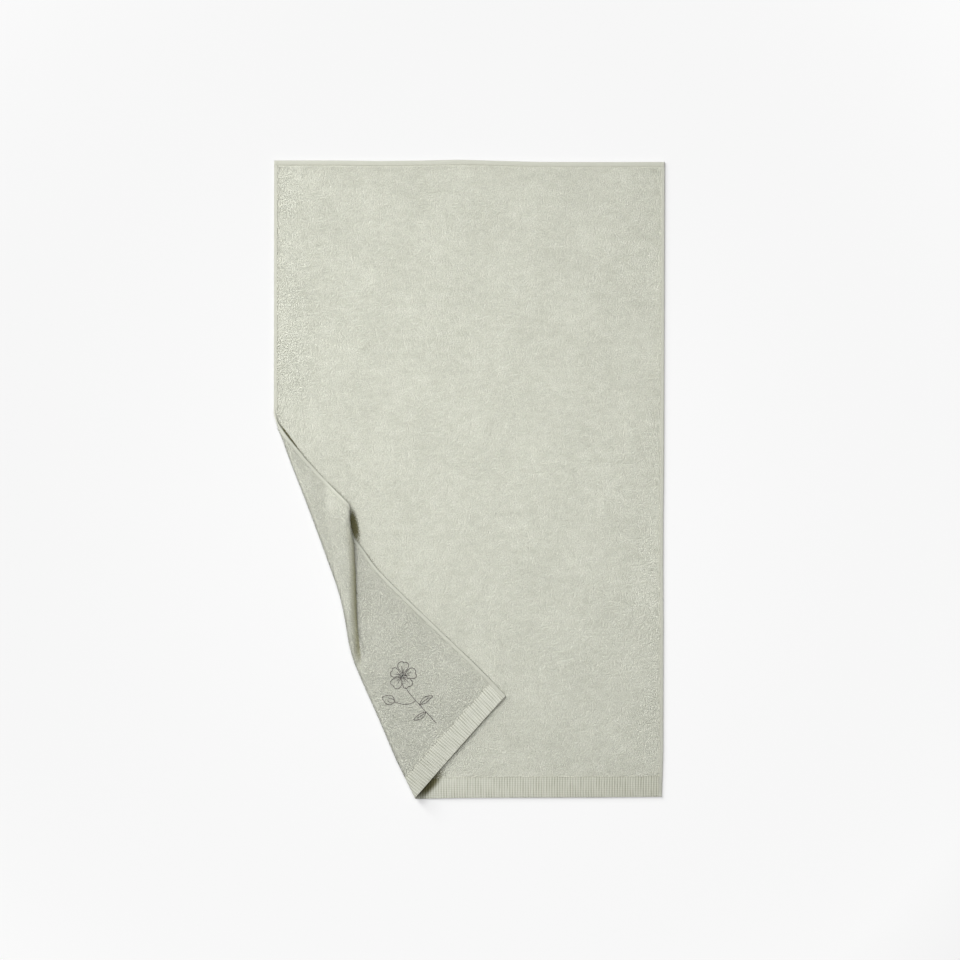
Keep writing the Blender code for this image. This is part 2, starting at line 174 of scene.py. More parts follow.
# At y on the flap: where the pleat's ridge lies, the cloth that it takes, the share of it that
# folds back, how far the layers lie over each other, the length over which the cloth climbs to
# the ridge, the slope down to it, the height of its crest, and how far the roll is pressed down
pleatRows = table(
    ("y", "ridge", "take", "share", "cover", "fall", "slope", "crest", "press"),
    (-0.2480, -0.1412, 0.0077, 1.00, 0.00, 0.044, 1.0, 0.0000, 0.00),
    (-0.2317, -0.1412, 0.0077, 1.00, 0.00, 0.044, 1.0, 0.0000, 0.70),
    (-0.2125, -0.1417, 0.0077, 0.98, 0.40, 0.044, 1.0, 0.0000, 0.95),
    (-0.1958, -0.1426, 0.0077, 0.97, 0.84, 0.044, 1.0, 0.0000, 0.95),
    (-0.1804, -0.1436, 0.0103, 0.94, 1.00, 0.044, 1.0, 0.0000, 0.85),
    (-0.1547, -0.1445, 0.0144, 0.79, 1.00, 0.044, 1.0, 0.0000, 0.75),
    (-0.1227, -0.1452, 0.0140, 0.67, 1.00, 0.044, 1.0, 0.0004, 0.75),
    (-0.0842, -0.1471, 0.0135, 0.57, 1.00, 0.036, 0.7, 0.0016, 0.60),
    (-0.0547, -0.1525, 0.0145, 0.55, 1.00, 0.026, 0.0, 0.0036, 0.00),
    (-0.0367, -0.1525, 0.0150, 0.55, 1.00, 0.022, 0.0, 0.0036, 0.00),
)


def smooth(t):
    t = np.clip(t, 0.0, 1.0)
    return t * t * (3.0 - 2.0 * t)


def mixed(a, b, share):
    return a + (b - a) * share


def turned(t):  # how far a soft turn has gone, from 0 at t = -1 to 1 at t = 1
    t = np.clip(t, -1.0, 1.0)
    return 0.5 + t * (15.0 - 10.0 * t * t + 3.0 * t**4) / 16.0


def rounded(length, half):  # the size of a length, with its corner at zero rounded
    t = np.clip(length / half, -1.0, 1.0)
    soft = half * (t * t * (15.0 - 10.0 * t * t + 3.0 * t**4) / 8.0 + 0.3125 * (1.0 - t * t) ** 3)
    return np.where(np.abs(length) < half, soft, np.abs(length))


def pastZero(length, half):  # a length where it is above zero, and none below, with a soft corner
    return 0.5 * (length + rounded(length, half))


def outwards(angle):  # the way across a crease, from the cloth towards the part that turns over
    return np.array((-math.sin(math.radians(angle)), -math.cos(math.radians(angle))))


def inPlane(u, v):  # the flat cloth with its uneven edges
    across = u / towel["width"] + 0.5
    along = v / towel["length"] + 0.5
    right = column(sideRows, "right", v) * across**3
    left = column(sideRows, "left", v) * (1.0 - across) ** 3
    top = column(endRows, "top", u) * along**3
    bottom = column(endRows, "bottom", u) * (1.0 - along) ** 3
    return np.stack((u + right - left, v + top - bottom), -1)


def pastCrease(plane, which):  # how far points lie beyond a crease
    way = outwards(corner[which + "Angle"])
    distance = (plane - np.array(corner[which + "Point"])) @ way
    return distance - column(creaseRows, "out", plane[..., 1] - distance * way[1])


def bend(y):  # how far the upper crease has bent into the lower one
    share = np.clip((corner["bendStart"] - y) / (corner["bendStart"] - corner["bendEnd"]), 0.0, 1.0)
    return smooth(share ** corner["bendPower"])


def rollHalf(y):  # half length of the turn at the rolled edge
    return corner["rollSpread"] * column(rollRows, "height", y)


def pastUpper(plane):  # how far points lie beyond the upper crease, and the way across it
    upper, lower = outwards(corner["upperAngle"]), outwards(corner["lowerAngle"])
    straight = pastCrease(plane, "upper")
    share = bend(plane[..., 1] - straight * upper[1])
    distance = mixed(straight, pastCrease(plane, "lower"), share)
    return distance, mixed(upper, lower, share[..., None])


def overUpper(plane):  # the cloth as if turned over the upper crease alone
    distance, way = pastUpper(plane)
    return plane - 2.0 * distance[..., None] * way


def beforeUpper(flap):  # the point of the flat cloth that overUpper brings to a place
    plane = flap
    upper = outwards(corner["upperAngle"])
    for _ in range(8):  # each step takes away most of what it misses by
        missed = flap - overUpper(plane)
        plane = plane + missed - 2.0 * (missed @ upper)[..., None] * upper
    return plane


def foldParts(u, v):  # the middle layer's place and height, its share of the flap, its thickness and shade
    plane = inPlane(u, v)
    flapPlace = overUpper(plane)
    ridge, take, share, cover, fall, slope, crest, press = (
        column(pleatRows, name, flapPlace[..., 1]) for name in pleatRows[0] if name != "y"
    )
    past = flapPlace[..., 0] - ridge
    half = rollHalf(plane[..., 1])
    turn, layer = corner["pleatTurn"], towel["layer"]

    inFold = (pastZero(past, turn) - pastZero(past - take, turn)) / take
    onLower = mixed(smooth((past - 0.5 * take) / corner["pleatTail"]), inFold, share)
    under = turned(past / turn)
    lowest = turned((past - take) / turn)
    climb = 1.0 - smooth((-past - take) / fall)
    kept = 1.0 - corner["slopeDrop"] * slope * cover * smooth(1.0 - np.abs(past) / corner["slopeReach"])
    crest = crest * smooth(1.0 - np.abs(past + corner["crestBack"]) / corner["crestHalf"])
    narrowed = 1.0 - press * smooth(1.0 + past / corner["slopeReach"])

    place = plane
    height = np.zeros_like(past)
    flap = np.zeros_like(past)
    lower = (pastCrease(plane, "lower"), outwards(corner["lowerAngle"]))
    for part, (distance, way) in ((1.0 - onLower, pastUpper(plane)), (onLower, lower)):
        place = place - (part * (distance + rounded(distance, half)))[..., None] * way
        over = part * turned(distance / half)
        fallen = (1.0 - smooth(distance / corner["rollFall"])) * narrowed
        loose = (half / corner["rollSpread"] - layer) * fallen
        stacked = loose + pastZero(2.0 * layer * cover * climb * kept - loose, turn) + crest
        lift = mixed(stacked, loose * (1.0 - cover), under) + layer * cover * kept * (under - lowest)
        height = height + over * (layer + lift)
        flap = flap + over
    height = height + flap * flap * freeRise(u, v, place)
    pressed = 1.0 - corner["pressShare"] * (1.0 - kept)
    # painted shade on the pleat's slope, strongest at its ridge
    shaded = np.maximum(slope * cover, press) * smooth(1.0 + past / corner["slopeReach"])
    aboveEnd = smooth((flapPlace[..., 1] - corner["shadeEnd"]) / corner["shadeFade"])
    shaded = shaded * (1.0 - smooth(past / turn)) * aboveEnd
    return place, 0.5 * towel["pile"] + height, flap, pressed, shaded * flap


def freeRise(u, v, place):  # the flap's soft unevenness and the settling of its free edges
    (acrossRate, acrossStart), (alongRate, alongStart) = corner["swellAcross"], corner["swellAlong"]
    waves = np.sin(acrossRate * place[..., 0] + acrossStart) * np.cos(alongRate * place[..., 1] + alongStart)
    fromEdge = np.minimum(u + halfWidth, v + halfLength)
    sag = column(sagRows, "sag", v) * (1.0 - smooth(fromEdge / corner["sagWidth"]))
    return corner["swell"] * (0.5 + 0.5 * waves) - sag


def foldPoints(u, v):
    place, height, *_ = foldParts(u, v)
    return np.concatenate((place, height[..., None]), -1)


def unit(vectors):
    return vectors / np.linalg.norm(vectors, axis=-1, keepdims=True)


def clothFrame(u, v):  # the middle layer's points, its directions along u and v, and its normal
    step = 0.0002
    across = unit(foldPoints(u + step, v) - foldPoints(u - step, v))
    along = unit(foldPoints(u, v + step) - foldPoints(u, v - step))
    return foldPoints(u, v), across, along, unit(np.cross(across, along))


def fromEdges(u, v):  # distances inwards from the sides, the top and the lower edge
    return halfWidth - np.abs(u), halfLength - v, halfLength + v


def isPile(u, v):
    side, top, bottom = fromEdges(u, v)
    return (side > towel["sideHem"]) & (top > towel["topHem"]) & (bottom > towel["band"])


def wovenHalf(u, v):  # half thickness of hems and band, with the groove where they meet the pile
    side, top, bottom = fromEdges(u, v)
    turn = towel["round"]
    half = np.full_like(u, towel["pile"])
    for distance, hem in ((side, towel["sideHem"]), (top, towel["topHem"])):
        stops = (0.0, turn, hem - turn, hem)
        heights = (towel["edgeHalf"], towel["hemHalf"], towel["hemHalf"], towel["grooveHalf"])
        half = np.minimum(half, np.where(distance < hem, np.interp(distance, stops, heights), half))
    wave = 0.5 - 0.5 * np.cos(2.0 * math.pi * u / towel["ribPitch"])
    rib = mixed(towel["ribHigh"], towel["ribLow"], wave)
    ribs = mixed(towel["edgeHalf"], rib, smooth(bottom / turn))
    ribs = mixed(ribs, towel["grooveHalf"], np.clip((bottom - towel["band"] + turn) / turn, 0.0, 1.0))
    return np.where(bottom < towel["band"], np.minimum(half, ribs), half)


def faceOffsets(u, v, flap, pressed):  # how far the front and the back stand off the middle layer
    full = 0.5 * towel["pile"] * pressed
    woven = wovenHalf(u, v)
    pile = isPile(u, v)
    turning = smooth(flap / corner["turnShare"])
    front = np.where(pile, mixed(towel["ground"], full, turning), woven)
    back = np.where(pile, mixed(full, towel["ground"], turning), mixed(full, woven, flap))
    return front, back


# The cloth's own mesh
clothMesh = {
    "bodyStep": 0.0090,
    "flapStep": 0.0055,
    "lineStep": 0.0080,
    "foldStep": 0.0040,
    "ribStep": 0.0045,
    "rollCuts": 15,
    "pleatCuts": 9,
    "pleatEnd": 0.45,  # the pleat's lines stop here within the roll, as a share of its half length
    "creaseTop": 0.100,  # where the crease lines start
    "creaseOver": 0.010,  # and how far they run on below the cloth
    "pleatOver": 0.030,  # and how far the pleat's lines run on above its last row
    "clear": 0.0022,  # free points keep this far from every drawn line
    "ribSides": 4,
    "turns": (0.0, 0.3, 0.65, 1.0),  # lines on a rounded edge, as shares of its length
    "onEdge": 1e-6,
    "flapFrom": 0.25,  # faces past this share of the flap count as turned over
    "sharp": 50.0,  # degrees
}


def evenly(start, end, step):
    return np.linspace(start, end, max(1, round(abs(end - start) / step)) + 1)


def cutToCloth(row):  # a polyline that runs off the cloth, ended on the left or the lower edge
    limits = ((0, -halfWidth), (1, -halfLength))
    inside = [all(p[axis] >= limit for axis, limit in limits) for p in row]
    kept = [p for p, isIn in zip(row, inside) if isIn]
    first, last = inside.index(True), len(row) - 1 - inside[::-1].index(True)
    for inner, outer in ((first, first - 1), (last, last + 1)):
        if not 0 <= outer < len(row):
            continue
        axis, limit = limits[0] if row[outer][0] < limits[0][1] else limits[1]
        share = (limit - row[inner][axis]) / (row[outer][axis] - row[inner][axis])
        end = tuple(row[inner][i] + share * (row[outer][i] - row[inner][i]) for i in (0, 1))
        kept = [end] + kept if outer < first else kept + [end]
    return kept


def hemLines():
    side, end = halfWidth, halfLength
    turn, step = towel["round"], clothMesh["lineStep"]

    def insets(width):
        edge = [share * turn for share in clothMesh["turns"]]
        return (*edge, width - turn, width - 0.5 * turn, width, width + 0.5 * turn)

    for inset in insets(towel["sideHem"]):
        for u in (inset - side, side - inset):
            yield [(u, v) for v in evenly(-end, end, step)]
    for inset in insets(towel["topHem"]):
        yield [(u, end - inset) for u in evenly(-side, side, step)]
    ribs = ribPlaces()
    outer = evenly(ribs[-1] + 0.5 * turn, side, turn)
    for inset in insets(towel["band"]):
        yield [(u, inset - end) for u in (*-outer[::-1], *ribs, *outer)]


def ribPlaces():
    step = towel["ribPitch"] / clothMesh["ribSides"]
    count = int((halfWidth - towel["sideHem"] - 0.5 * towel["round"]) / step)
    return np.arange(-count, count + 1) * step


def ribLines():
    low, turn = -halfLength, towel["round"]
    for u in ribPlaces():
        yield [(u, v) for v in evenly(low + turn, low + towel["band"] - turn, clothMesh["ribStep"])]


def creaseLines():
    upper, lower = corner["upperPoint"], corner["lowerPoint"]
    upperSlope = math.tan(math.radians(corner["upperAngle"]))
    lowerSlope = math.tan(math.radians(corner["lowerAngle"]))
    for cut in np.sin(np.linspace(-0.5 * math.pi, 0.5 * math.pi, clothMesh["rollCuts"])):
        row = []
        below = -halfLength - clothMesh["creaseOver"]
        for y in evenly(clothMesh["creaseTop"], below, clothMesh["foldStep"]):
            share = float(bend(y))
            x = mixed(upper[0] + (upper[1] - y) / upperSlope, lower[0] + (lower[1] - y) / lowerSlope, share)
            out = cut * rollHalf(y) + column(creaseRows, "out", y)
            shift = outwards(mixed(corner["upperAngle"], corner["lowerAngle"], share)) * out
            row.append((float(x + shift[0]), float(y + shift[1])))
        yield cutToCloth(row)


def pleatLines():
    low, high = pleatRows[1]["y"], pleatRows[-1]["y"] + clothMesh["pleatOver"]
    y = evenly(high, low, clothMesh["foldStep"])
    ridge, take = column(pleatRows, "ridge", y), column(pleatRows, "take", y)
    for side in (0.0, 1.0):
        for cut in np.sin(np.linspace(-0.5 * math.pi, 0.5 * math.pi, clothMesh["pleatCuts"])):
            place = np.stack((ridge + side * take + cut * corner["pleatTurn"], y), -1)
            plane = beforeUpper(place)
            keep = pastUpper(plane)[0] > clothMesh["pleatEnd"] * rollHalf(plane[:, 1])
            row = [(float(p[0]), float(p[1])) for p in plane[keep]]
            if len(row) > 1:
                yield cutToCloth(row)


def freePoints(lines):
    drawn = [p for line in lines for p in line]
    tree = KDTree(len(drawn))
    for i, p in enumerate(drawn):
        tree.insert((p[0], p[1], 0.0), i)
    tree.balance()
    side, end = halfWidth, halfLength
    for step, wanted in ((clothMesh["flapStep"], True), (clothMesh["bodyStep"], False)):
        us = evenly(towel["sideHem"] - side, side - towel["sideHem"], step)[1:-1]
        vs = evenly(towel["band"] - end, end - towel["topHem"], step)[1:-1]
        grid = np.stack(np.meshgrid(us, vs), -1).reshape(-1, 2)
        past = np.maximum(pastUpper(grid)[0], pastCrease(grid, "lower"))
        for p in grid[(past > 0.0) == wanted]:
            if tree.find((p[0], p[1], 0.0))[2] > clothMesh["clear"]:
                yield (float(p[0]), float(p[1]))


def flatPattern():  # points and triangles of the flat cloth
    lines = [*hemLines(), *ribLines(), *creaseLines(), *pleatLines()]
    points, edges = [], []
    for line in lines:
        edges += [(len(points) + i, len(points) + i + 1) for i in range(len(line) - 1)]
        points += line
    points += freePoints(lines)
    verts, _, faces, *_ = delaunay_2d_cdt([Vector(p) for p in points], edges, [], 0, 1e-6)
    flat = np.array([tuple(p) for p in verts])
    tris = np.array(faces)
    a, b, c = (flat[tris[:, i]] for i in range(3))
    area = (b[:, 0] - a[:, 0]) * (c[:, 1] - a[:, 1]) - (c[:, 0] - a[:, 0]) * (b[:, 1] - a[:, 1])
    tris[area < 0.0] = tris[area < 0.0][:, ::-1]
    return flat[:, 0], flat[:, 1], tris


def borderEdges(tris):
    edges = np.concatenate((tris[:, (0, 1)], tris[:, (1, 2)], tris[:, (2, 0)]))
    both = {(a, b) for a, b in edges.tolist()}
    return np.array(sorted((a, b) for a, b in both if (b, a) not in both))


def addObject(name, data):
    made = bpy.data.objects.new(name, data)
    bpy.context.scene.collection.objects.link(made)
    return made


def meshFrom(name, points, faces, edges=()):
    mesh = bpy.data.meshes.new(name)
    mesh.from_pydata(points, edges, faces)
    return mesh


def setVectors(mesh, name, values):
    attribute = mesh.attributes.new(name, "FLOAT_VECTOR", "POINT")
    attribute.data.foreach_set("vector", np.ascontiguousarray(values, dtype=np.float32).ravel())


def setNumbers(mesh, name, values):
    attribute = mesh.attributes.new(name, "FLOAT", "POINT")
    attribute.data.foreach_set("value", np.ascontiguousarray(values, dtype=np.float32))


seamShading = {
    "grooveIn": 0.3,  # shares of the hem's rounding
    "edgeReach": 0.8,
    "edge": 0.3,  # how strong an edge's painted shade is beside a groove's
}


def seamShadeMask(u, v):  # painted shade in the grooves inside the hems and above the band, and fainter at the edges
    turn = towel["round"]
    mask = np.zeros_like(u)
    for distance, width in zip(fromEdges(u, v), (towel["sideHem"], towel["topHem"], towel["band"])):
        groove = 1.0 - np.abs(distance - width + seamShading["grooveIn"] * turn) / turn
        edge = seamShading["edge"] * (1.0 - distance / (seamShading["edgeReach"] * turn))
        mask = np.maximum(mask, np.maximum(groove, edge))
    return mask


clothSlots = {"ground": 0, "back": 1, "hem": 2, "band": 3}  # its materials, in their order


def faceSlots(u, v, flap, tris, edgeFaces):
    centreU, centreV = u[tris].mean(1), v[tris].mean(1)
    side, _, bottom = fromEdges(centreU, centreV)
    onBand = (bottom < towel["band"]) & (side > towel["sideHem"])
    onPile = isPile(centreU, centreV)
    over = flap[tris].mean(1) > clothMesh["flapFrom"]
    woven = np.where(onBand, clothSlots["band"], clothSlots["hem"])
    looped = [clothSlots["ground"], clothSlots["back"]]  # where the face looks out, and where it lies below
    front = np.where(onPile, np.where(over, *looped[::-1]), woven)
    back = np.where(onPile, np.where(over, *looped), woven)
    return np.concatenate((front, back, np.full(edgeFaces, clothSlots["hem"]))).astype(np.int32)


def clothShell(u, v, tris):  # points of both faces and the rim, faces of each, and the points' upward ways
    middle, across, along, normal = clothFrame(u, v)
    front, back = faceOffsets(u, v, *foldParts(u, v)[2:4])
    count = len(u)
    onSide, onTop, onBottom = (distance < clothMesh["onEdge"] for distance in fromEdges(u, v))
    outU = np.where(onSide, np.sign(u), 0.0)[:, None] * across
    outV = (onTop.astype(float) - onBottom.astype(float))[:, None] * along
    waist = middle + 0.5 * normal * (front - back)[:, None] + (outU + outV) * towel["edgeBulge"]
    edges = borderEdges(tris)
    a, b = edges[:, 0], edges[:, 1]
    rimIndex = np.full(count, -1)
    rimIndex[a] = 2 * count + np.arange(len(a))
    ma, mb = rimIndex[a], rimIndex[b]
    points = np.concatenate((middle + normal * front[:, None], middle - normal * back[:, None], waist[a]))
    layers = np.concatenate((tris, tris[:, ::-1] + count))
    quads = np.concatenate((np.stack((b, a, ma, mb), -1), np.stack((mb, ma, a + count, b + count), -1)))
    return points, layers, quads, a, np.concatenate((normal, -normal))


def makeCloth(materials):
    u, v, tris = flatPattern()
    count = len(u)
    points, layers, quads, rim, ups = clothShell(u, v, tris)
    mesh = meshFrom("towel_cloth", points.tolist(), layers.tolist() + quads.tolist())
    for material in materials:
        mesh.materials.append(material)
    flap, _, shaded = foldParts(u, v)[2:]
    mesh.polygons.foreach_set("material_index", faceSlots(u, v, flap, tris, len(quads)))
    mesh.shade_smooth()
    mesh.set_sharp_from_angle(angle=math.radians(clothMesh["sharp"]))

    front, back = (np.stack((u, v, np.full(count, side)), -1) for side in (0.0, 1.0))
    setVectors(mesh, "cloth", np.concatenate((front, back, front[rim])))
    seam = seamShadeMask(u, v)
    setNumbers(mesh, "seam", np.concatenate((seam, seam, seam[rim])))
    # painted shade on the pleat's slope
    setNumbers(mesh, "fold", np.concatenate((shaded, shaded, shaded[rim])))
    solid = BVHTree.FromPolygons(points.tolist(), layers.tolist())
    openness = openSky(solid, points[:2 * count], ups)
    # painted shade along the flap's folded lower edge, deeper still on its very rim
    folded = np.where(fromEdges(u, v)[2] < clothMesh["onEdge"], flap, 0.0)
    openness = np.minimum(openness, np.tile(1.0 - hollows["rimShade"] * folded, 2))
    rimOpen = np.maximum(openness[:count], openness[count:]) - hollows["rimMore"] * folded
    setNumbers(mesh, "open", np.concatenate((openness, rimOpen[rim])))
    return addObject("towel_cloth", mesh), solid


# Small helpers for node trees
def addNode(tree, kind, values=None, **settings):
    node = tree.nodes.new(kind)
    for name, value in settings.items():
        setattr(node, name, value)
    for key, value in (values or {}).items():
        if isinstance(value, bpy.types.NodeSocket):
            tree.links.new(value, node.inputs[key])
        else:
            node.inputs[key].default_value = value
    return node


def numbers(tree, operation, *values):
    return addNode(tree, "ShaderNodeMath", dict(enumerate(values)), operation=operation).outputs[0]


def times(tree, a, b):
    return numbers(tree, "MULTIPLY", a, b)


def plus(tree, a, b):
    return numbers(tree, "ADD", a, b)


def minus(tree, a, b):
    return numbers(tree, "SUBTRACT", a, b)


def divided(tree, a, b):
    return numbers(tree, "DIVIDE", a, b)


def addSocket(tree, name, kind, value=None, way="INPUT"):
    socket = tree.interface.new_socket(name, in_out=way, socket_type="NodeSocket" + kind)
    if value is not None:
        socket.default_value = value


def newPieceTree(name, sizes):
    tree = bpy.data.node_groups.new(name, "GeometryNodeTree")
    addSocket(tree, "Geometry", "Geometry")
    for label, value in sizes.items():
        addSocket(tree, label, "Int" if isinstance(value, int) else "Float", value)
    addSocket(tree, "Yarn", "Material")
    addSocket(tree, "Geometry", "Geometry", way="OUTPUT")
    return tree, tree.nodes.new("NodeGroupInput").outputs


def named(tree, name, kind):
    node = addNode(tree, "GeometryNodeInputNamedAttribute", {"Name": name}, data_type=kind)
    return next(s for s in node.outputs if s.enabled and s.name == "Attribute")


def randomNumber(tree, low, high, seed, offset):
    node = addNode(tree, "FunctionNodeRandomValue", data_type="FLOAT")
    plain = [s for s in node.inputs if s.enabled]
    for socket, value in zip(plain, (low, high)):
        if isinstance(value, bpy.types.NodeSocket):
            tree.links.new(value, socket)
        else:
            socket.default_value = value
    tree.links.new(plus(tree, seed, float(offset)), next(s for s in plain if s.name == "Seed"))
    return next(s for s in node.outputs if s.enabled)


def separated(tree, vector):
    return addNode(tree, "ShaderNodeSeparateXYZ", {0: vector}).outputs


def joined(tree, x, y, z):
    return addNode(tree, "ShaderNodeCombineXYZ", {"X": x, "Y": y, "Z": z}).outputs[0]


def noise(tree, vector, scale, detail, roughness=0.5):
    return addNode(tree, "ShaderNodeTexNoise", {
        "Vector": vector, "Scale": scale, "Detail": detail, "Roughness": roughness,
    }).outputs


def stored(tree, geometry, name, value, domain="POINT"):
    return addNode(tree, "GeometryNodeStoreNamedAttribute", {
        "Geometry": geometry, "Name": name, "Value": value,
    }, data_type="FLOAT", domain=domain).outputs[0]


def turnedBy(tree, rotation, x, y, z):  # a rotation turned further about its own axes
    more = addNode(tree, "FunctionNodeEulerToRotation", {0: joined(tree, x, y, z)}).outputs[0]
    both = addNode(tree, "FunctionNodeRotateRotation", {0: rotation, 1: more}, rotation_space="LOCAL")
    return both.outputs[0]


def finishTree(tree, instances, yarn):
    real = addNode(tree, "GeometryNodeRealizeInstances", {"Geometry": instances}).outputs[0]
    shaded = addNode(tree, "GeometryNodeSetShadeSmooth", {"Geometry": real}).outputs[0]
    done = addNode(tree, "GeometryNodeSetMaterial", {"Geometry": shaded, "Material": yarn}).outputs[0]
    addNode(tree, "NodeGroupOutput", {"Geometry": done})


def grown(name, mesh, tree, values, yarn):  # runs a tree on a mesh and returns a plain object
    source = addObject(name + "_source", mesh)
    modifier = source.modifiers.new("grow", "NODES")
    modifier.node_group = tree
    for socket in tree.interface.items_tree:
        if socket.item_type == "SOCKET" and socket.in_out == "INPUT":
            if socket.name == "Yarn":
                modifier[socket.identifier] = yarn
            elif socket.name in values:
                modifier[socket.identifier] = values[socket.name]
    graph = bpy.context.evaluated_depsgraph_get()
    made = bpy.data.meshes.new_from_object(source.evaluated_get(graph), depsgraph=graph)
    made.name = name
    source.modifiers.remove(modifier)
    bpy.data.objects.remove(source)
    return addObject(name, made)


# The pile: one small arch of yarn for each loop
pile = {
    "across": 0.00156,  # spacing of the loops
    "along": 0.00166,
    "jitter": 0.90,  # share of the spacing
    "reach": -0.0005,  # how far from a hem the loops start
    "backTall": 1.2,  # the loops of the folded corner stand taller
    "backFrom": 0.06,  # from this share of the flap on, the back's loops show
    "shortest": 0.2,  # loops pressed shorter than this share are left out
    "slopeOpen": 1.5,  # the pleat's slope has its own painted shade, so it doesn't take the shut-in places' painted shade too
    "perPiece": 32500,  # each loop has six triangles
    "seed": 7,
}
loopSizes = {
    "Loop Width": 0.00092,
    "Loop Span": 0.0020,
    "Loop Height": 0.00110,
    "Shortest": 0.8,  # shares of the height and of the width
    "Tallest": 1.15,
    "Narrowest": 0.85,
    "Widest": 1.2,
    "Twist": 0.9,  # radians
    "Lean": 0.19,  # how far whole patches of loops lean
    "Loose": 0.20,  # and each loop by itself
    "Patch Size": 0.011,
    "Patch Spread": 4.0,
    "Seed": 11,
}


def loopTree():
    tree, sizes = newPieceTree("terry loops", loopSizes)
    strip = addNode(tree, "GeometryNodeMeshGrid", {
        "Size X": sizes["Loop Width"], "Size Y": sizes["Loop Span"], "Vertices X": 2, "Vertices Y": 4,
    }).outputs["Mesh"]
    place = addNode(tree, "GeometryNodeInputPosition").outputs[0]
    x, y, _ = separated(tree, place)
    share = divided(tree, times(tree, y, 2.0), sizes["Loop Span"])
    tip = minus(tree, 1.0, times(tree, share, share))
    cross = divided(tree, times(tree, x, 2.0), sizes["Loop Width"])
    strip = stored(tree, stored(tree, strip, "cross", cross), "tip", tip)
    rise = joined(tree, 0.0, 0.0, times(tree, tip, sizes["Loop Height"]))
    arch = addNode(tree, "GeometryNodeSetPosition", {"Geometry": strip, "Offset": rise}).outputs[0]

    patches = noise(tree, place, divided(tree, 1.0, sizes["Patch Size"]), 2.0)
    lean = separated(tree, patches["Color"])

    def leaning(part, offset):
        drift = times(tree, minus(tree, part, 0.5), sizes["Patch Spread"])
        steady = times(tree, drift, sizes["Lean"])
        loose = randomNumber(tree, -1.0, 1.0, sizes["Seed"], offset)
        return plus(tree, steady, times(tree, loose, sizes["Loose"]))

    facing = addNode(tree, "FunctionNodeAxesToRotation", {
        0: named(tree, "up", "FLOAT_VECTOR"), 1: named(tree, "way", "FLOAT_VECTOR"),
    }, primary_axis="Z", secondary_axis="X").outputs[0]
    leaned = turnedBy(tree, facing, leaning(lean["X"], 1), leaning(lean["Y"], 2), 0.0)
    back = times(tree, sizes["Twist"], -1.0)
    turn = turnedBy(tree, leaned, 0.0, 0.0, randomNumber(tree, back, sizes["Twist"], sizes["Seed"], 3))
    tall = randomNumber(tree, sizes["Shortest"], sizes["Tallest"], sizes["Seed"], 4)
    tall = times(tree, named(tree, "tall", "FLOAT"), tall)
    wide = randomNumber(tree, sizes["Narrowest"], sizes["Widest"], sizes["Seed"], 5)
    size = joined(tree, wide, wide, tall)
    loops = addNode(tree, "GeometryNodeInstanceOnPoints", {
        "Points": sizes["Geometry"], "Instance": arch, "Rotation": turn, "Scale": size,
    }).outputs[0]
    shade = randomNumber(tree, 0.0, 1.0, sizes["Seed"], 6)
    shaded = stored(tree, loops, "shade", shade, "INSTANCE")
    finishTree(tree, shaded, sizes["Yarn"])
    return tree


# How open each place is to the sky: loops buried between layers are left out, and hollows get
# painted shade, darker and warmer
hollows = {
    "start": 0.0004,  # rays start this far off the cloth
    "reach": 0.030,
    "first": (68.0, 4),  # degrees from the surface's own direction, and how many rays
    "rings": ((22.0, 5), (45.0, 7), (68.0, 8)),  # sent only where a first ray is stopped
    "open": 0.70,  # from this share of open sky on, the yarn keeps its colour
    "shut": 0.32,
    "rimShade": 0.62,  # how much less open the flap's lower edge counts
    "rimMore": 0.186,  # and its very rim
    "speckle": 0.12,  # how unevenly the painted shade falls on shut-in loops
    "shadeFrom": 1.1,  # a deep shade grows between these shares of its ellipsoid
    "shadeFull": 0.5,
}
deepShades = (  # ellipsoids of shade: the pleat's mouth, the open side hem and the rolled tip
    {"place": (-0.1483, -0.0592, 0.0), "half": (0.0074, 0.0280, 0.0090), "turn": 12.0},
    {"place": (-0.2299, 0.0519, 0.0), "half": (0.0020, 0.0380, 0.0060), "turn": 36.0},
    {"place": (-0.0512, -0.3910, 0.0), "half": (0.0100, 0.0310, 0.0062), "turn": -42.0},
)


def openSky(cloth, points, ups):  # the share of rays that leave each point freely
    east, north = Vector((1.0, 0.0, 0.0)), Vector((0.0, 1.0, 0.0))

    def slanted(up, slant, count):
        side = up.cross(east if abs(up.x) < 0.8 else north).normalized()
        other = up.cross(side)
        lean, rise = math.sin(math.radians(slant)), math.cos(math.radians(slant))
        for turn in np.linspace(0.0, 2.0 * math.pi, count, endpoint=False):
            yield up * rise + (side * math.cos(turn) + other * math.sin(turn)) * lean

    def clear(start, ways):
        return [cloth.ray_cast(start, way, hollows["reach"])[0] is None for way in ways]

    result = np.ones(len(points))
    for i, (point, up) in enumerate(zip(points.tolist(), ups.tolist())):
        up = Vector(up)
        start = Vector(point) + up * hollows["start"]
        rays = clear(start, (up, *slanted(up, *hollows["first"])))
        if all(rays):
            continue
        for slant, count in hollows["rings"]:
            rays += clear(start, slanted(up, slant, count))
        result[i] = sum(rays) / len(rays) if any(rays) else 0.0
    return result


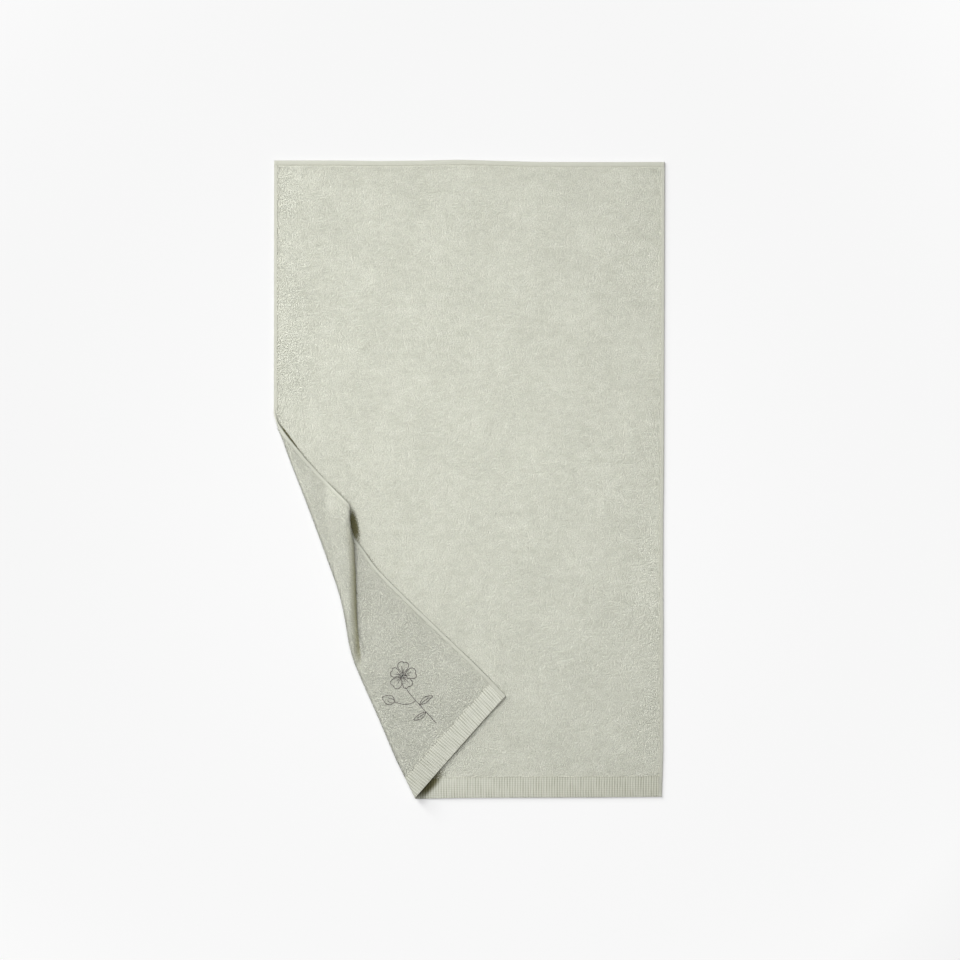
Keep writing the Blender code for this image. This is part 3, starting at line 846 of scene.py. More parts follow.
def pilePoints(cloth, threads):  # where each loop stands, its ways, its height and how much painted shade it takes
    rng = np.random.default_rng(pile["seed"])
    side, end = halfWidth, halfLength
    us = np.arange(towel["sideHem"] - side, side - towel["sideHem"], pile["across"])
    vs = np.arange(towel["band"] - end, end - towel["topHem"], pile["along"])
    u, v = (grid.ravel() for grid in np.meshgrid(us, vs))
    u = u + (rng.random(len(u)) - 0.5) * pile["jitter"] * pile["across"]
    v = v + (rng.random(len(v)) - 0.5) * pile["jitter"] * pile["along"]
    sideIn, topIn, bottomIn = fromEdges(u, v)
    inner = np.minimum(topIn - towel["topHem"], bottomIn - towel["band"])
    inner = np.minimum(sideIn - towel["sideHem"], inner)
    u, v = u[inner > pile["reach"]], v[inner > pile["reach"]]
    middle, across, along, normal = clothFrame(u, v)
    flap, pressed, shaded = foldParts(u, v)[2:]
    front, back = faceOffsets(u, v, flap, pressed)
    onBack = flap > pile["backFrom"]
    face = np.where(onBack, -1.0, 1.0)
    up = normal * face[:, None]
    place = middle + up * np.where(onBack, back, front)[:, None]
    first, second = (uRate * u + vRate * v for uRate, vRate in towel["unevenWaves"])
    swell = towel["uneven"] * np.sin(first) * np.cos(second)
    turning = smooth(flap / corner["turnShare"])
    grow = pressed * np.where(onBack, pile["backTall"] * turning, 1.0 - turning)
    grow = grow + swell / loopSizes["Loop Height"]
    openness = openSky(cloth, place, up)
    keep = (openness > 0.0) & (grow > pile["shortest"])
    # the pleat's slope keeps its own painted shade instead of the shut-in places' painted shade
    openness = np.maximum(openness, hollows["open"] * np.minimum(1.0, pile["slopeOpen"] * shaded * flap))
    keep &= np.array([threads.find(p)[2] > stitching["pressed"] for p in place.tolist()])
    flat = np.stack((u, v, onBack.astype(float)), -1)
    return [values[keep] for values in (place, up, across * face[:, None], flat, grow, openness, shaded)]


def makePile(cloth, threads, yarn):
    tree = loopTree()
    place, up, way, flat, grow, openness, shaded = pilePoints(cloth, threads)
    onFlap = flat[:, 2] > 0.5
    order = np.lexsort((-flat[:, 1], onFlap))
    count = math.ceil(len(order) / pile["perPiece"])
    pieces = []
    for i, part in enumerate(np.array_split(order, count)):
        mesh = meshFrom("loops", place[part].tolist(), [])
        setVectors(mesh, "up", up[part])
        setVectors(mesh, "way", way[part])
        setVectors(mesh, "cloth", flat[part])
        setNumbers(mesh, "tall", grow[part])
        # amounts of painted shade: in shut-in places and on the pleat's slope
        setNumbers(mesh, "open", openness[part])
        setNumbers(mesh, "fold", shaded[part])
        values = loopSizes | {"Seed": loopSizes["Seed"] + 10 * i}
        pieces.append(grown(f"terry_pile_{i + 1}", mesh, tree, values, yarn))
    print("pile:", len(order), "loops in", count, "pieces")
    return pieces


# Stitches follow a line of points, each with the direction that it faces
stitchSizes = {
    "Stitch Step": 0.0026,
    "Stitch Length": 0.0022,
    "Thread Width": 0.00065,
    "Thread Height": 0.00055,
    "Slant": 0.0,
    "Wander": 0.10,  # radians
    "Shortest": 0.9,
    "Longest": 1.1,
    "Blunt Power": 0.55,  # below 1 a stitch has blunter ends
    "Blunt Size": 0.73,  # brings the blunted bead back to its length
    "Seed": 3,
}


def stitchTree():
    tree, sizes = newPieceTree("stitches", stitchSizes)
    line = addNode(tree, "GeometryNodeMeshToCurve", {0: sizes["Geometry"]}).outputs[0]
    spaced = addNode(tree, "GeometryNodeResampleCurve", {
        "Curve": line, "Length": sizes["Stitch Step"],
    }, mode="LENGTH")
    bead = addNode(tree, "GeometryNodeMeshUVSphere", {"Segments": 6, "Rings": 4, "Radius": 0.5}).outputs[0]
    lying = addNode(tree, "GeometryNodeTransform", {0: bead, "Rotation": (0.0, 0.5 * math.pi, 0.0)})
    place = addNode(tree, "GeometryNodeInputPosition").outputs[0]
    x, y, z = separated(tree, place)
    blunt = numbers(tree, "POWER", numbers(tree, "ABSOLUTE", x), sizes["Blunt Power"])
    blunt = times(tree, numbers(tree, "SIGN", x), blunt)
    blunt = times(tree, blunt, sizes["Blunt Size"])
    stitch = addNode(tree, "GeometryNodeSetPosition", {
        "Geometry": lying.outputs[0], "Position": joined(tree, blunt, y, z),
    }).outputs[0]
    facing = addNode(tree, "FunctionNodeAxesToRotation", {
        0: addNode(tree, "GeometryNodeInputTangent").outputs[0], 1: named(tree, "up", "FLOAT_VECTOR"),
    }, primary_axis="X", secondary_axis="Z").outputs[0]
    back = times(tree, sizes["Wander"], -1.0)
    wander = randomNumber(tree, back, sizes["Wander"], sizes["Seed"], 1)
    turn = turnedBy(tree, facing, 0.0, 0.0, plus(tree, wander, sizes["Slant"]))
    share = randomNumber(tree, sizes["Shortest"], sizes["Longest"], sizes["Seed"], 2)
    length = times(tree, sizes["Stitch Length"], share)
    size = joined(tree, length, sizes["Thread Width"], sizes["Thread Height"])
    sewn = addNode(tree, "GeometryNodeInstanceOnPoints", {
        "Points": spaced.outputs[0], "Instance": stitch, "Rotation": turn, "Scale": size,
    }).outputs[0]
    shade = randomNumber(tree, 0.0, 1.0, sizes["Seed"], 3)
    shaded = stored(tree, sewn, "shade", shade, "INSTANCE")
    finishTree(tree, shaded, sizes["Yarn"])
    return tree


def lineMesh(lines):  # each line is its points and the directions that they face
    points = np.concatenate([line[0] for line in lines])
    ups = np.concatenate([line[1] for line in lines])
    edges, first = [], 0
    for line in lines:
        edges += [(first + i, first + i + 1) for i in range(len(line[0]) - 1)]
        first += len(line[0])
    mesh = meshFrom("lines", points.tolist(), [], edges)
    setVectors(mesh, "up", ups)
    return mesh


hemStitching = {
    "sideIn": 0.0035,  # from the edge
    "topIn": 0.0050,
    "bandIn": 0.0008,  # past the band's upper line
    "endIn": 0.002,  # the rows stop this far from a corner
    "clear": 0.001,  # left out where this far off the cloth is below the floor
    "step": 0.0013,
}


def hemStitchLines(cloth):
    side, end = halfWidth, halfLength
    endIn, step = hemStitching["endIn"], hemStitching["step"]
    vs, us = (evenly(endIn - half, half - endIn, step) for half in (end, side))
    inner = us[np.abs(us) < side - towel["sideHem"]]
    seam = side - hemStitching["sideIn"]
    rows = [(np.full_like(vs, u), vs) for u in (-seam, seam)]
    rows.append((us, np.full_like(us, end - hemStitching["topIn"])))
    rows.append((inner, np.full_like(inner, towel["band"] - hemStitching["bandIn"] - end)))
    lines = []
    for u, v in rows:
        middle, _, _, normal = clothFrame(u, v)
        front, back = faceOffsets(u, v, *foldParts(u, v)[2:4])
        for face, offset in ((1.0, front), (-1.0, back)):
            up = normal * face
            place = middle + up * offset[:, None]
            seen = (openSky(cloth, place, up) > 0.0) & ((place + hemStitching["clear"] * up)[:, 2] > 0.0)
            for run in np.split(np.arange(len(u)), np.flatnonzero(np.diff(seen.astype(int))) + 1):
                if seen[run[0]] and len(run) > 2:
                    lines.append((place[run], up[run]))
    return lines


# The embroidered sprig on the folded corner, drawn on the towel from above
sprig = {
    "flower": (-0.0860, -0.2515),
    "petalLength": 0.0172,
    "petals": 5,
    "petalTurn": 14.0,  # degrees
    "petalUneven": 0.09,
    "petalWave": (2.3, 0.4),  # radians from petal to petal, and at the first
    "heart": 0.0034,
    "heartStitches": 9,
    "heartSway": (7.0, 3.0),  # degrees, and radians from stitch to stitch
    "heartReach": (1.15, 0.35, 5.0),  # shares of the heart, and radians from stitch to stitch
    "bud": (-0.0965, -0.2850),
    "budLength": 0.0165,
    "budAngle": 158.0,
    "stemTop": (-0.0820, -0.2670),
    "stemBend": (-0.0770, -0.2740),
    "fork": (-0.0690, -0.2835),
    "stemLow": (-0.0570, -0.2965),
    "foot": (-0.0440, -0.3110),
    "twig": ((-0.0850, -0.2880), (-0.0760, -0.2870)),  # from the bud to the fork
    "leaves": (
        {"place": (-0.0640, -0.2890), "angle": 38.0, "length": 0.0200},
        {"place": (-0.0560, -0.2978), "angle": 215.0, "length": 0.0185},
    ),
    "curveStep": 0.0007,
    "rise": 0.0010,  # the thread's middle above the woven ground
    "above": 0.1,  # the drawing is dropped on the cloth from this height
}
stitching = {
    "Stitch Step": 0.00135,
    "Stitch Length": 0.0021,
    "Thread Width": 0.00092,
    "Thread Height": 0.00085,
    "Slant": 0.16,
    "pressed": 0.0010,  # the pile lies flat this close to a thread
}
shapes = {  # drawn along their own length, as shares of it
    "petal": ((0.16, 0.02), (0.34, 0.20), (0.62, 0.38), (0.90, 0.33), (1.00, 0.10), (0.93, -0.06),
              (0.98, -0.20), (0.84, -0.38), (0.56, -0.34), (0.32, -0.17), (0.16, -0.02)),
    "bud": ((0.00, 0.06), (0.20, 0.30), (0.50, 0.36), (0.80, 0.20), (1.00, 0.00), (0.80, -0.20),
            (0.50, -0.36), (0.20, -0.30), (0.00, -0.06)),
    "leaf": ((0.00, 0.00), (0.25, 0.16), (0.55, 0.20), (0.82, 0.10), (1.00, -0.04), (0.74, -0.10),
             (0.45, -0.13), (0.20, -0.08), (0.00, 0.00)),
    "leafVein": ((0.05, 0.0), (0.4, 0.03), (0.72, 0.01)),
    "heartStitch": ((0.15, 0.0), (0.6, 0.05), (1.0, 0.0)),
}
petalVeins = (
    {"curve": 0.06, "reach": 0.62},
    {"curve": -0.05, "reach": 0.48},
)


def through(points):  # a smooth curve through the points
    p = np.array(points, float)
    p = np.concatenate((2.0 * p[:1] - p[1:2], p, 2.0 * p[-1:] - p[-2:-1]))
    made = []
    for i in range(1, len(p) - 2):
        count = max(2, math.ceil(np.linalg.norm(p[i + 1] - p[i]) / sprig["curveStep"]))
        t = np.linspace(0.0, 1.0, count, endpoint=False)[:, None]
        a, b, c, d = p[i - 1:i + 3]
        made.append(0.5 * (2.0 * b + (c - a) * t + (2.0 * a - 5.0 * b + 4.0 * c - d) * t**2
                           + (3.0 * b - a - 3.0 * c + d) * t**3))
    return np.concatenate((*made, p[-2:-1]))


def drawn(shape, origin, angle, length):
    turn = math.radians(angle)
    x, y = np.array(shape).T * length
    placed = np.stack((origin[0] + x * math.cos(turn) - y * math.sin(turn),
                       origin[1] + x * math.sin(turn) + y * math.cos(turn)), -1)
    return through(placed)


def petalLines():
    rate, start = sprig["petalWave"]
    for i in range(sprig["petals"]):
        angle = sprig["petalTurn"] + 360.0 * i / sprig["petals"]
        length = sprig["petalLength"] * (1.0 + sprig["petalUneven"] * math.sin(rate * i + start))
        yield drawn(shapes["petal"], sprig["flower"], angle, length)
        for vein in petalVeins:
            curve = vein["curve"]
            line = ((0.24, 0.4 * curve), (0.42, curve), (vein["reach"], 1.6 * curve))
            yield drawn(line, sprig["flower"], angle, length)


def budLines():
    at = (sprig["bud"], sprig["budAngle"], sprig["budLength"])
    yield drawn(shapes["bud"], *at)
    for side in (1.0, -1.0):
        yield drawn(((0.00, 0.06 * side), (0.22, 0.16 * side), (0.52, 0.10 * side)), *at)


def stemLines():
    yield through([sprig[point] for point in ("stemTop", "stemBend", "fork", "stemLow", "foot")])
    yield through([sprig["bud"], *sprig["twig"], sprig["fork"]])
    for leaf in sprig["leaves"]:
        for shape in ("leaf", "leafVein"):
            yield drawn(shapes[shape], leaf["place"], leaf["angle"], leaf["length"])


def heartLines():
    sway, swayRate = sprig["heartSway"]
    mean, uneven, rate = sprig["heartReach"]
    for i in range(sprig["heartStitches"]):
        angle = 360.0 * i / sprig["heartStitches"] + sway * math.sin(swayRate * i)
        reach = sprig["heart"] * (mean + uneven * math.cos(rate * i))
        yield drawn(shapes["heartStitch"], sprig["flower"], angle, reach)


def ontoFlap(cloth, line):
    points, ups = [], []
    for x, y in line.tolist():
        hit, normal, *_ = cloth.ray_cast(Vector((x, y, sprig["above"])), Vector((0.0, 0.0, -1.0)))
        points.append(hit + normal * sprig["rise"])
        ups.append(normal)
    return np.array(points), np.array(ups)


def treeOf(points):
    tree = KDTree(len(points))
    for i, point in enumerate(points.tolist()):
        tree.insert(point, i)
    tree.balance()
    return tree


# Materials
yarnColours = {
    "pile": (0.672, 0.679, 0.591),
    "ground": (0.700, 0.710, 0.610),
    "hem": (0.476, 0.482, 0.416),
    "band": (0.545, 0.551, 0.477),
    "thread": (0.520, 0.526, 0.450),
    "embroidery": (0.100, 0.088, 0.082),
    "heart": (0.020, 0.018, 0.022),
    "hollowShade": (0.20, 0.188, 0.097),  # painted shade: what a shut-in place keeps of its colour
    "seam": (0.95, 0.94, 0.91),  # and the painted shade that a groove or an edge keeps
    "fold": (0.60, 0.58, 0.42),  # and the painted shade on the slope into the pleat
}


def shaderGroup(name, inputs, outputs):
    tree = bpy.data.node_groups.new(name, "ShaderNodeTree")
    for label, (kind, value) in inputs.items():
        addSocket(tree, label, kind, value)
    for label, kind in outputs.items():
        addSocket(tree, label, kind, way="OUTPUT")
    return tree, tree.nodes.new("NodeGroupInput").outputs, tree.nodes.new("NodeGroupOutput").inputs


def readNumber(tree, name):
    return addNode(tree, "ShaderNodeAttribute", attribute_name=name).outputs["Fac"]


def readPlace(tree):  # where on the flat cloth, with 1 for its back as the third number
    return addNode(tree, "ShaderNodeAttribute", attribute_name="cloth").outputs["Vector"]


def vectors(tree, operation, first, second):
    return addNode(tree, "ShaderNodeVectorMath", {0: first, 1: second}, operation=operation).outputs[0]


def scaled(tree, colour, light):
    return addNode(tree, "ShaderNodeVectorMath", {0: colour, "Scale": light}, operation="SCALE").outputs[0]


def ranged(tree, value, low, high, start=0.0, end=1.0, **settings):  # start..end becomes low..high
    return addNode(tree, "ShaderNodeMapRange", {
        "Value": value, "From Min": start, "From Max": end, "To Min": low, "To Max": high,
    }, **settings).outputs[0]


def bumped(tree, shader, height, look):
    bump = addNode(tree, "ShaderNodeBump", {
        "Strength": look["bump"], "Distance": look["bumpHeight"], "Height": height,
    })
    tree.links.new(bump.outputs[0], shader.inputs["Normal"])


clothTone = {
    "patchShape": (0.75, 1.35, 1.0),  # patches lie a little across the cloth
    "streakShape": (620.0, 90.0, 1.0),
    "driftScale": 9.0,
    "tint": (1.03, 1.0, 1.15),  # how much each colour changes
}


def clothToneGroup():  # soft patches, streaks along the cloth and a slow drift of its colour
    tree, given, made = shaderGroup("cloth tone", {
        "Colour": ("Color", (0.7, 0.7, 0.6, 1.0)),
        "Patch Size": ("Float", 0.014),
        "Patches": ("Float", 0.10),
        "Streaks": ("Float", 0.06),
        "Drift": ("Float", 0.02),
    }, {"Colour": "Color"})
    cloth = readPlace(tree)
    patchPlace, streakPlace = (
        vectors(tree, "MULTIPLY", cloth, clothTone[shape]) for shape in ("patchShape", "streakShape")
    )
    patches = noise(tree, patchPlace, divided(tree, 1.0, given["Patch Size"]), 3.0, 0.6)
    streaks = noise(tree, streakPlace, 1.0, 1.0)
    drift = noise(tree, cloth, clothTone["driftScale"], 1.0)

    def around(spots, depth):
        return times(tree, minus(tree, spots["Fac"], 0.5), depth)

    change = plus(tree, around(patches, given["Patches"]), around(streaks, given["Streaks"]))
    change = plus(tree, change, around(drift, given["Drift"]))
    light = vectors(tree, "ADD", scaled(tree, clothTone["tint"], change), (1.0, 1.0, 1.0))
    tree.links.new(vectors(tree, "MULTIPLY", given["Colour"], light), made["Colour"])
    return tree


def weaveGroup():  # plain weave, over and under, from the cloth's own coordinates
    tree, given, made = shaderGroup("plain weave", {
        "Pitch": ("Float", 0.0006),
        "Depth": ("Float", 0.1),
    }, {"Height": "Float", "Light": "Float"})
    cloth = separated(tree, readPlace(tree))
    turn = divided(tree, 2.0 * math.pi, given["Pitch"])
    across = numbers(tree, "SINE", times(tree, cloth["X"], turn))
    along = numbers(tree, "SINE", times(tree, cloth["Y"], turn))
    height = times(tree, across, along)
    light = plus(tree, 1.0, times(tree, height, given["Depth"]))
    tree.links.new(height, made["Height"])
    tree.links.new(light, made["Light"])
    return tree


def newMaterial(name, look):
    material = bpy.data.materials.new(name)
    material.use_nodes = True
    shader = material.node_tree.nodes["Principled BSDF"]
    shader.inputs["Roughness"].default_value = look["roughness"]
    shader.inputs["Specular IOR Level"].default_value = 0.25
    shader.inputs["Sheen Weight"].default_value = look["sheen"]
    shader.inputs["Sheen Roughness"].default_value = 0.6
    return material, material.node_tree, shader


def toned(tree, group, colour, look):
    return addNode(tree, "ShaderNodeGroup", {
        "Colour": (*colour, 1.0), "Patch Size": look["patchSize"],
        "Patches": look["patches"], "Streaks": look["streaks"],
    }, node_tree=group).outputs["Colour"]


def hollowShadeGroup():  # painted shade, darker and warmer where the cloth is shut in, in grooves and along edges, and on the pleat's slope
    tree, given, made = shaderGroup("hollow tone", {
        "Colour": ("Color", (0.7, 0.7, 0.6, 1.0)),
    }, {"Colour": "Color"})
    soft = {"interpolation_type": "SMOOTHSTEP"}
    shut = ranged(tree, readNumber(tree, "open"), 0.0, 1.0, hollows["open"], hollows["shut"], **soft)
    speckle = times(tree, readNumber(tree, "shade"), hollows["speckle"])
    for shade in deepShades:
        inside = addNode(tree, "ShaderNodeMapping", {
            "Vector": addNode(tree, "ShaderNodeTexCoord").outputs["Object"], "Location": shade["place"],
            "Rotation": (0.0, 0.0, math.radians(shade["turn"])), "Scale": shade["half"],
        }, vector_type="TEXTURE").outputs[0]
        reach = addNode(tree, "ShaderNodeVectorMath", {0: inside}, operation="LENGTH").outputs["Value"]
        reach = plus(tree, reach, speckle)
        depth = ranged(tree, reach, 0.0, 1.0, hollows["shadeFrom"], hollows["shadeFull"], **soft)
        shut = numbers(tree, "MAXIMUM", shut, depth)
    seam, fold = (
        addNode(tree, "ShaderNodeClamp", {0: readNumber(tree, name)}).outputs[0] for name in ("seam", "fold")
    )
    colour = given["Colour"]
    for share, kept in ((shut, "hollowShade"), (seam, "seam"), (fold, "fold")):
        withShade = addNode(tree, "ShaderNodeMix", data_type="RGBA", blend_type="MULTIPLY")
        factor, first, second = (withShade.inputs[i] for i in (0, 6, 7))
        tree.links.new(share, factor)
        tree.links.new(colour, first)
        second.default_value = (*yarnColours[kept], 1.0)
        colour = withShade.outputs[2]
    tree.links.new(colour, made["Colour"])
    return tree


# the colour with its painted shade becomes the shader's base colour
def painted(tree, group, colour, shader):
    withShade = addNode(tree, "ShaderNodeGroup", {"Colour": colour}, node_tree=group).outputs["Colour"]
    tree.links.new(withShade, shader.inputs["Base Color"])


pileLook = {
    "roughness": 0.92,
    "sheen": 0.15,
    "bump": 0.8,
    "bumpHeight": 0.0003,
    "patchSize": 0.013,
    "patches": 0.42,
    "streaks": 0.06,
    "root": 0.84,  # shares of the yarn's colour; the root's share is painted shade
    "tip": 1.02,
    "dullest": 0.94,
    "brightest": 1.06,
    "backShadeLow": 0.80,  # painted shade: the folded corner's loops are darker, more so towards the lower edge
    "backShadeHigh": 0.83,
    "backFrom": -0.20,
    "backTo": -0.04,
}


def pileMaterial(tone, hollowShade):
    material, tree, shader = newMaterial("terry loops", pileLook)
    base = toned(tree, tone, yarnColours["pile"], pileLook)
    # painted shade: each loop darker towards its root than at its tip
    tip = ranged(tree, readNumber(tree, "tip"), pileLook["root"], pileLook["tip"])
    own = ranged(tree, readNumber(tree, "shade"), pileLook["dullest"], pileLook["brightest"])
    cloth = separated(tree, readPlace(tree))
    # painted shade on the folded corner's loops
    back = (pileLook[name] for name in ("backShadeLow", "backShadeHigh", "backFrom", "backTo"))
    face = ranged(tree, cloth["Z"], 1.0, ranged(tree, cloth["Y"], *back))
    light = times(tree, times(tree, tip, own), face)
    painted(tree, hollowShade, scaled(tree, base, light), shader)
    cross = readNumber(tree, "cross")
    yarn = minus(tree, 1.0, times(tree, cross, cross))
    bumped(tree, shader, yarn, pileLook)
    return material


groundLook = {
    "roughness": 0.95,
    "sheen": 0.10,
    "bump": 0.9,
    "bumpHeight": 0.0003,
    "patchSize": 0.009,
    "patches": 0.10,
    "streaks": 0.10,
    "cells": 760.0,  # to the metre
    # painted shade: between the cells the colour falls to this share
    "between": 0.72,
}
backLook = groundLook | {"bumpHeight": 0.0008}


def groundMaterial(tone, hollowShade, name, colour, look):
    material, tree, shader = newMaterial(name, look)
    base = toned(tree, tone, colour, look)
    cells = addNode(tree, "ShaderNodeTexVoronoi", {
        "Vector": readPlace(tree), "Scale": look["cells"],
    }, feature="F1")
    # painted shade between the cells, full colour on their tops
    height = minus(tree, 1.0, cells.outputs["Distance"])
    painted(tree, hollowShade, scaled(tree, base, ranged(tree, height, look["between"], 1.0)), shader)
    bumped(tree, shader, height, look)
    return material


hemLook = {
    "roughness": 0.88,
    "sheen": 0.10,
    "bump": 0.6,
    "bumpHeight": 0.0001,
    "patchSize": 0.010,
    "patches": 0.06,
    "streaks": 0.04,
    "weavePitch": 0.0009,
    "weaveDepth": 0.05,
}


def woven(tree, weave, look):
    return addNode(tree, "ShaderNodeGroup", {
        "Pitch": look["weavePitch"], "Depth": look["weaveDepth"],
    }, node_tree=weave).outputs


def hemMaterial(tone, weave, hollowShade):
    material, tree, shader = newMaterial("woven hem", hemLook)
    base = toned(tree, tone, yarnColours["hem"], hemLook)
    cloth = woven(tree, weave, hemLook)
    painted(tree, hollowShade, scaled(tree, base, cloth["Light"]), shader)
    bumped(tree, shader, cloth["Height"], hemLook)
    return material


bandLook = {
    "roughness": 0.86,
    "sheen": 0.10,
    "bump": 0.6,
    "bumpHeight": 0.0001,
    "patchSize": 0.010,
    "patches": 0.08,
    "streaks": 0.02,
    "weavePitch": 0.0008,
    "weaveDepth": 0.04,
    "groovePower": 3.0,  # how narrow the lines between the ribs are
    "grooveShadeFaint": 0.14,  # and how dark their painted shade is, from rib to rib
    "grooveShadeDark": 0.42,
    "unevenAcross": 180.0,
    "unevenAlong": 40.0,
    "unevenFrom": 0.35,
    "unevenTo": 0.65,
    "weftPitch": 0.0024,
    "weft": 0.07,
    "left": 1.08,  # the band is a little darker towards its right end
    "right": 0.90,
    # the band's darker parts, its grooves' painted shade most, turn warmer
    "warmth": 1.2,
}


def bandMaterial(tone, weave, hollowShade):
    material, tree, shader = newMaterial("ribbed band", bandLook)
    base = toned(tree, tone, yarnColours["band"], bandLook)
    place = separated(tree, readPlace(tree))
    turn = times(tree, place["X"], 2.0 * math.pi / towel["ribPitch"])
    valley = times(tree, minus(tree, 1.0, numbers(tree, "COSINE", turn)), 0.5)
    # painted shade in the grooves between the ribs
    groove = numbers(tree, "POWER", valley, bandLook["groovePower"])
    across = times(tree, place["X"], bandLook["unevenAcross"])
    along = times(tree, place["Y"], bandLook["unevenAlong"])
    uneven = noise(tree, joined(tree, across, along, 0.0), 1.0, 1.0)["Fac"]
    spread = (bandLook[name] for name in ("grooveShadeFaint", "grooveShadeDark", "unevenFrom", "unevenTo"))
    depth = ranged(tree, uneven, *spread)
    weft = numbers(tree, "SINE", times(tree, place["Y"], 2.0 * math.pi / bandLook["weftPitch"]))
    ridge = minus(tree, 1.0, times(tree, groove, depth))
    ridge = plus(tree, ridge, times(tree, weft, bandLook["weft"]))
    cloth = woven(tree, weave, bandLook)
    fade = ranged(tree, place["X"], bandLook["left"], bandLook["right"], -halfWidth, halfWidth)
    light = times(tree, times(tree, ridge, cloth["Light"]), fade)
    warm = joined(tree, light, light, numbers(tree, "POWER", light, bandLook["warmth"]))
    painted(tree, hollowShade, vectors(tree, "MULTIPLY", base, warm), shader)
    bumped(tree, shader, cloth["Height"], bandLook)
    return material


threadLook = {
    "roughness": 0.80,
    "sheen": 0.05,
    "bump": 0.5,
    "bumpHeight": 0.0001,
    "fibres": 2600.0,
    "own": 0.15,  # how much stitches differ
    "grain": 0.2,
}
embroideryLook = threadLook | {"roughness": 0.55}


def threadMaterial(name, colour, look):
    material, tree, shader = newMaterial(name, look)
    place = addNode(tree, "ShaderNodeTexCoord").outputs["Object"]
    fibres = noise(tree, place, look["fibres"], 2.0)["Fac"]
    own, grain = (
        ranged(tree, value, 1.0 - look[part], 1.0 + look[part])
        for value, part in ((readNumber(tree, "shade"), "own"), (fibres, "grain"))
    )
    light = times(tree, own, grain)
    tree.links.new(scaled(tree, colour, light), shader.inputs["Base Color"])
    bumped(tree, shader, fibres, look)
    return material


# Camera, light and floor
studio = {
    "viewCentre": (0.01328, -0.00077),
    "viewWidth": 1.2317,
    "lens": 85.0,
    "sensor": 36.0,
    "sky": 0.17,
}
lamps = (
    {"name": "soft lamp", "place": (-1.75, 1.95, 2.6), "size": 1.5, "power": 107.5},
    {"name": "soft low", "place": (-2.3, 2.4, 1.3), "size": 0.9, "power": 48.0},
    {"name": "soft top", "place": (-0.03, -0.03, 1.1), "size": 0.5, "power": 6.7},
)
floorLook = {
    "roughness": 0.90,
    "sheen": 0.0,
    "tone": 0.58,
    "half": 16.0,
    "drop": 0.0004,  # below the cloth
    "glow": 0.1686,  # it glows a little more away from the lamps, to look even
    "glowRise": 0.1622,
    "glowCurve": 0.0602,
    "glowTwist": 0.0056,
    "glowRound": 0.2839,
    "glowMost": 0.45,
}


def makeCamera():
    camera = bpy.data.cameras.new("camera")
    camera.lens, camera.sensor_width = studio["lens"], studio["sensor"]
    camera.clip_end = 50.0
    eye = addObject("camera", camera)
    distance = studio["viewWidth"] * studio["lens"] / studio["sensor"]
    eye.location = (*studio["viewCentre"], distance + towel["pile"])
    bpy.context.scene.camera = eye


def makeLamp(lamp):  # it faces the middle of the towel
    light = bpy.data.lights.new(lamp["name"], "AREA")
    light.shape = "SQUARE"
    light.size = lamp["size"]
    light.energy = lamp["power"]
    made = addObject(lamp["name"], light)
    made.location = lamp["place"]
    made.rotation_euler = Vector(lamp["place"]).to_track_quat("Z", "Y").to_euler()
    made.visible_camera = False


def makeSky():
    world = bpy.data.worlds.new("studio")
    world.use_nodes = True
    sky = world.node_tree.nodes["Background"].inputs
    sky["Color"].default_value = (1.0, 1.0, 1.0, 1.0)
    sky["Strength"].default_value = studio["sky"]
    bpy.context.scene.world = world


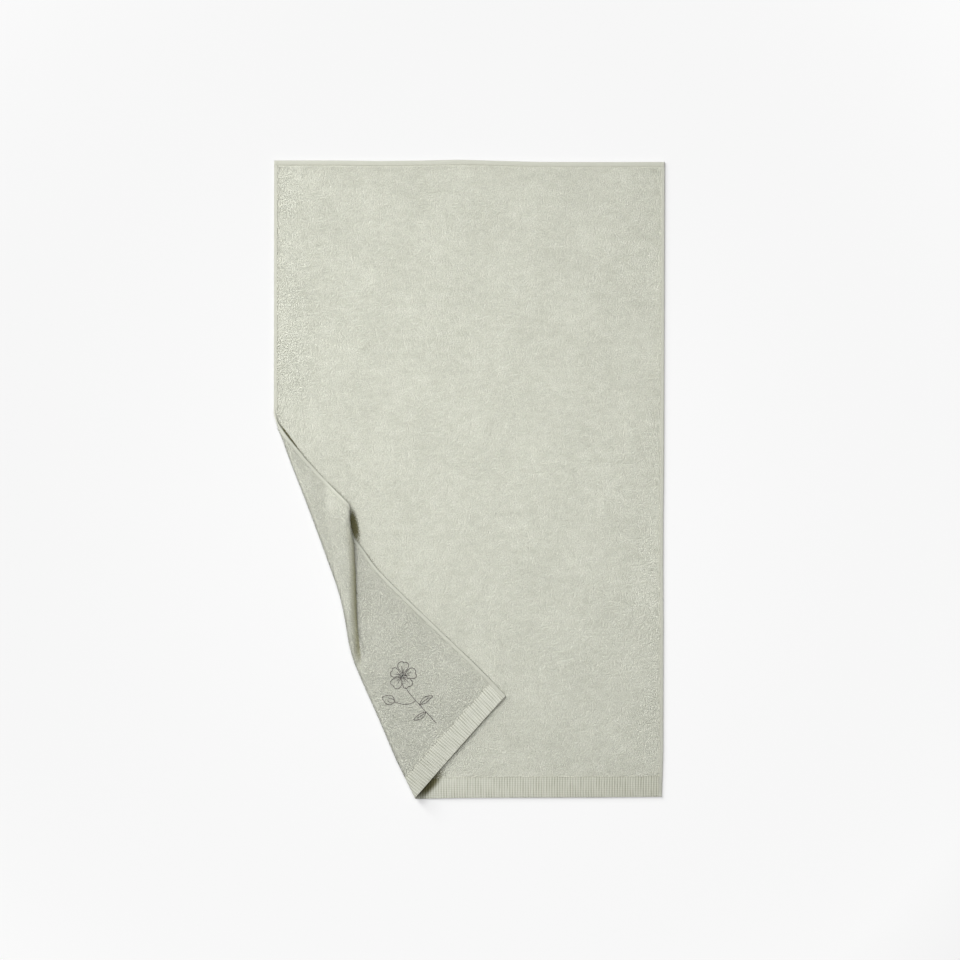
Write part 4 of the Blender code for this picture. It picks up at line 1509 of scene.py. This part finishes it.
def floorMaterial():
    material, tree, shader = newMaterial("pale floor", floorLook)
    tone = floorLook["tone"]
    shader.inputs["Base Color"].default_value = (tone, tone, tone, 1.0)
    shader.inputs["Emission Strength"].default_value = 1.0
    place = addNode(tree, "ShaderNodeTexCoord").outputs["Object"]
    x, y, _ = separated(tree, place)
    away = minus(tree, x, y)  # from the lamps at the upper left
    curve = times(tree, away, floorLook["glowCurve"])
    slope = minus(tree, floorLook["glowRise"], curve)
    twist = times(tree, times(tree, away, away), floorLook["glowTwist"])
    slope = plus(tree, slope, twist)
    glow = plus(tree, floorLook["glow"], times(tree, away, slope))
    squares = plus(tree, *(times(tree, part, part) for part in (x, y)))
    glow = plus(tree, glow, times(tree, squares, floorLook["glowRound"]))
    glow = numbers(tree, "MINIMUM", glow, floorLook["glowMost"])
    tree.links.new(joined(tree, glow, glow, glow), shader.inputs["Emission Color"])
    return material


def makeFloor():
    far, low = floorLook["half"], -floorLook["drop"]
    corners = [(x * far, y * far, low) for x, y in ((-1, -1), (1, -1), (1, 1), (-1, 1))]
    mesh = meshFrom("floor", corners, [(0, 1, 2, 3)])
    mesh.materials.append(floorMaterial())
    addObject("floor", mesh)


tone = clothToneGroup()
weave = weaveGroup()
hollowShade = hollowShadeGroup()
loopYarn = pileMaterial(tone, hollowShade)
clothMaterials = (
    groundMaterial(tone, hollowShade, "woven ground", yarnColours["ground"], groundLook),
    groundMaterial(tone, hollowShade, "terry back", yarnColours["pile"], backLook),
    hemMaterial(tone, weave, hollowShade),
    bandMaterial(tone, weave, hollowShade),
)
makeCamera()
for lamp in lamps:
    makeLamp(lamp)
makeSky()
makeFloor()
bpy.context.scene.view_settings.view_transform = "Standard"
print("studio and materials ready")

clothPiece, cloth = makeCloth(clothMaterials)
print("cloth:", len(clothPiece.data.polygons), "faces")

stitches = stitchTree()
hemThread = threadMaterial("hem thread", yarnColours["thread"], threadLook)
hemSewing = grown("hem_stitching", lineMesh(hemStitchLines(cloth)), stitches, stitchSizes, hemThread)
print("hem stitching:", len(hemSewing.data.polygons), "faces")

lightLines = [ontoFlap(cloth, line) for line in (*petalLines(), *budLines(), *stemLines())]
darkLines = [ontoFlap(cloth, line) for line in heartLines()]
sprigPiece = grown("sprig_embroidery", lineMesh(lightLines), stitches, stitching,
                   threadMaterial("embroidery thread", yarnColours["embroidery"], embroideryLook))
heartPiece = grown("sprig_heart", lineMesh(darkLines), stitches, stitching,
                   threadMaterial("dark thread", yarnColours["heart"], embroideryLook))
print("embroidery:", len(sprigPiece.data.polygons) + len(heartPiece.data.polygons), "faces")

threads = treeOf(np.concatenate([line[0] for line in lightLines + darkLines]))
pilePieces = makePile(cloth, threads, loopYarn)

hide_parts("towel")
onCloth = [*pilePieces, hemSewing, sprigPiece, heartPiece]
for piece in (clothPiece, *onCloth):
    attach(piece, "root")
